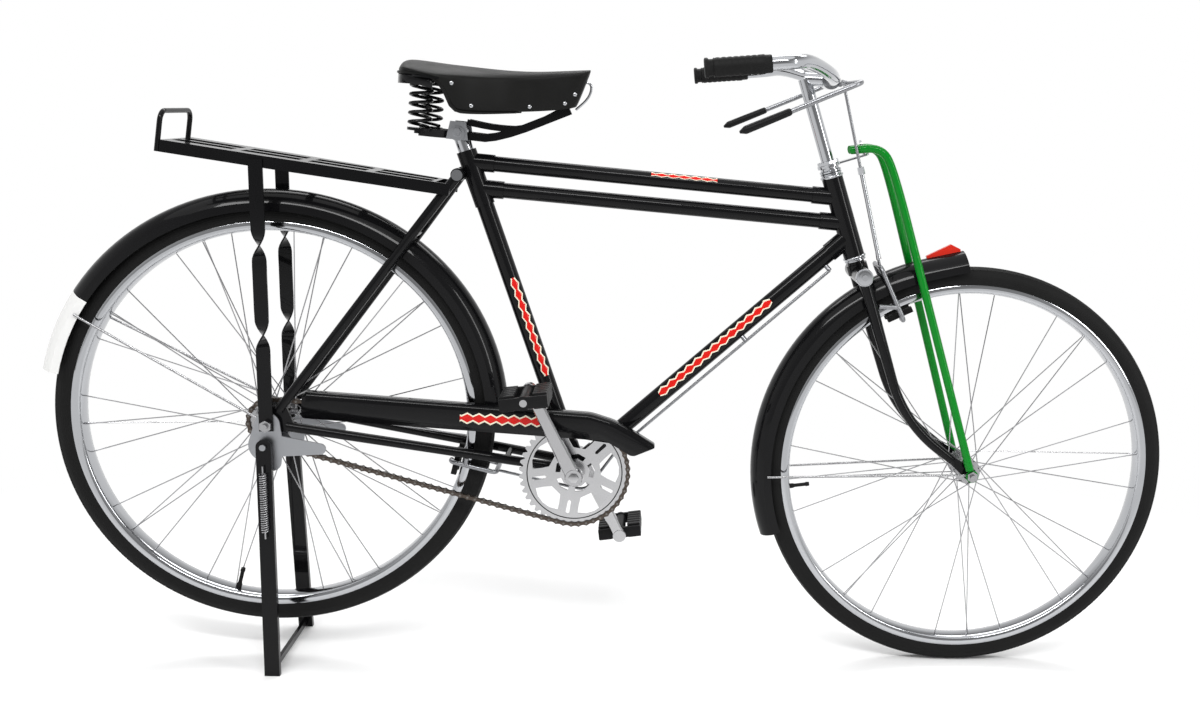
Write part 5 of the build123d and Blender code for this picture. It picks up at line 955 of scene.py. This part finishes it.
# ---------------------------------------------------------------- floor, light and camera
# A white studio floor that fades into a white surround, a wide soft lamp overhead, and
# long soft boxes whose reflections draw the tubes. The surround is white behind and beside the
# bicycle, and greyer overhead and behind the camera, for every ray that shows it.
floor_mesh = bmesh.new()
bmesh.ops.create_grid(floor_mesh, x_segments=1, y_segments=1, size=30.0)
floor_data = bpy.data.meshes.new("floor")
floor_mesh.to_mesh(floor_data)
floor_mesh.free()
floor = bpy.data.objects.new("floor", floor_data)
bpy.context.scene.collection.objects.link(floor)
pale_floor, floor_shader, floor_place = finish("pale_floor", Roughness=0.9, Specular_IOR_Level=0.0)
floor_shader.inputs["Base Color"].default_value = (0.92, 0.92, 0.92, 1.0)
floor_out = pale_floor.node_tree.nodes["Material Output"]
oval = floor_place.node("VectorMath", {"operation": "MULTIPLY"}, {0: floor_place, 1: (1.0, 1.5, 0.0)})
reach = oval.node("VectorMath", {"operation": "LENGTH"}, {0: oval}, "Value")
far = reach.ramp(0.9, 1.9)
lit = Wire(pale_floor.node_tree, floor_shader.outputs[0])


def shown_rays(wire):
    """1 for the rays that show the surround, and 0 for those that only carry its light."""
    seen = wire.node("LightPath", out="Is Camera Ray")
    mirrored = wire.node("LightPath", out="Is Glossy Ray")
    through = wire.node("LightPath", out="Is Transmission Ray")
    return wire.sum("MINIMUM", seen + mirrored + through, 1.0)


grey_share = 0.3
distance = floor_place.node("VectorMath", {"operation": "LENGTH"}, {0: floor_place}, "Value")
backward_floor = floor_place.along((0.0, 0.0, 0.0), (0.0, -1.0, 0.0)) / (distance + mm)
floor_grade = (backward_floor.ramp(0.25, 1.0) * distance.ramp(4.0, 9.0)).spread(1.0, grey_share)
glow = floor_place.node("Emission", None, {"Color": floor_grade, "Strength": 1.0})
mixed = floor_place.node("MixShader", None, {0: far * shown_rays(floor_place), 1: lit, 2: glow})
pale_floor.node_tree.links.new(mixed.socket, floor_out.inputs["Surface"])
floor_data.materials.append(pale_floor)

world = bpy.data.worlds.new("studio")
bpy.context.scene.world = world
world.use_nodes = True
sky = world.node_tree.nodes["Background"]
surround = Wire(world.node_tree)
heading = surround.node("TexCoord", out="Generated")
ceiling = heading.along((0.0, 0.0, 0.0), (0.0, 0.0, 1.0)).ramp(0.25, 0.7)
backward = heading.along((0.0, 0.0, 0.0), (0.0, -1.0, 0.0)).ramp(0.25, 1.0)
sky.inputs["Color"].default_value = (1.0, 1.0, 1.0, 1.0)
backdrop = ceiling.spread(1.0, 0.35) * backward.spread(1.0, grey_share)
ambient = 0.45
strength = shown_rays(surround) * (backdrop - ambient) + ambient
surround.tree.links.new(strength.socket, sky.inputs["Strength"])


def softbox(name, place, aim, width, height, watts):
    """A rectangular studio lamp turned to an aim."""
    lamp = bpy.data.lights.new(name, "AREA")
    lamp.shape = "RECTANGLE"
    lamp.size = width
    lamp.size_y = height
    lamp.energy = watts
    held = bpy.data.objects.new(name, lamp)
    held.location = place
    held.rotation_euler = (Vector(aim) - Vector(place)).to_track_quat("-Z", "Y").to_euler()
    bpy.context.scene.collection.objects.link(held)


softbox("key_box", (-0.6, -2.2, 2.9), (0.0, 0.0, 0.5), 3.4, 0.35, 60.0)
softbox("fill_box", (2.6, -1.6, 1.6), (0.2, 0.0, 0.5), 0.35, 2.0, 24.0)
softbox("back_box", (0.0, 1.8, 3.0), (0.0, 0.0, 0.5), 3.6, 0.8, 50.0)
sun = bpy.data.lights.new("overhead", "SUN")
sun.energy = 1.1
sun.angle = radians(80)
overhead = bpy.data.objects.new("overhead", sun)
overhead.rotation_euler = (radians(12), radians(-8), 0)
bpy.context.scene.collection.objects.link(overhead)

frame_width = 1200.0
frame_height = 720.0
focal = 1276.24
principal = (774.8, 304.0)
camera_data = bpy.data.cameras.new("camera")
camera_data.sensor_width = 36.0
camera_data.lens = focal / frame_width * camera_data.sensor_width
camera_data.shift_x = (frame_width / 2 - principal[0]) / frame_width
camera_data.shift_y = (principal[1] - frame_height / 2) / frame_width
camera = bpy.data.objects.new("camera", camera_data)
camera.location = (0.0322, -2.1411, 0.9589)
yaw, tilt_down, roll = radians(5.622), radians(-8.65), radians(3.032)
turned = Matrix.Rotation(-yaw, 4, "Z") @ Matrix.Rotation(pi / 2 + tilt_down, 4, "X")
camera.rotation_euler = (turned @ Matrix.Rotation(roll, 4, "Z")).to_euler()
bpy.context.scene.collection.objects.link(camera)
bpy.context.scene.camera = camera
bpy.context.scene.view_settings.view_transform = "Standard"

bpy.context.view_layer.update()
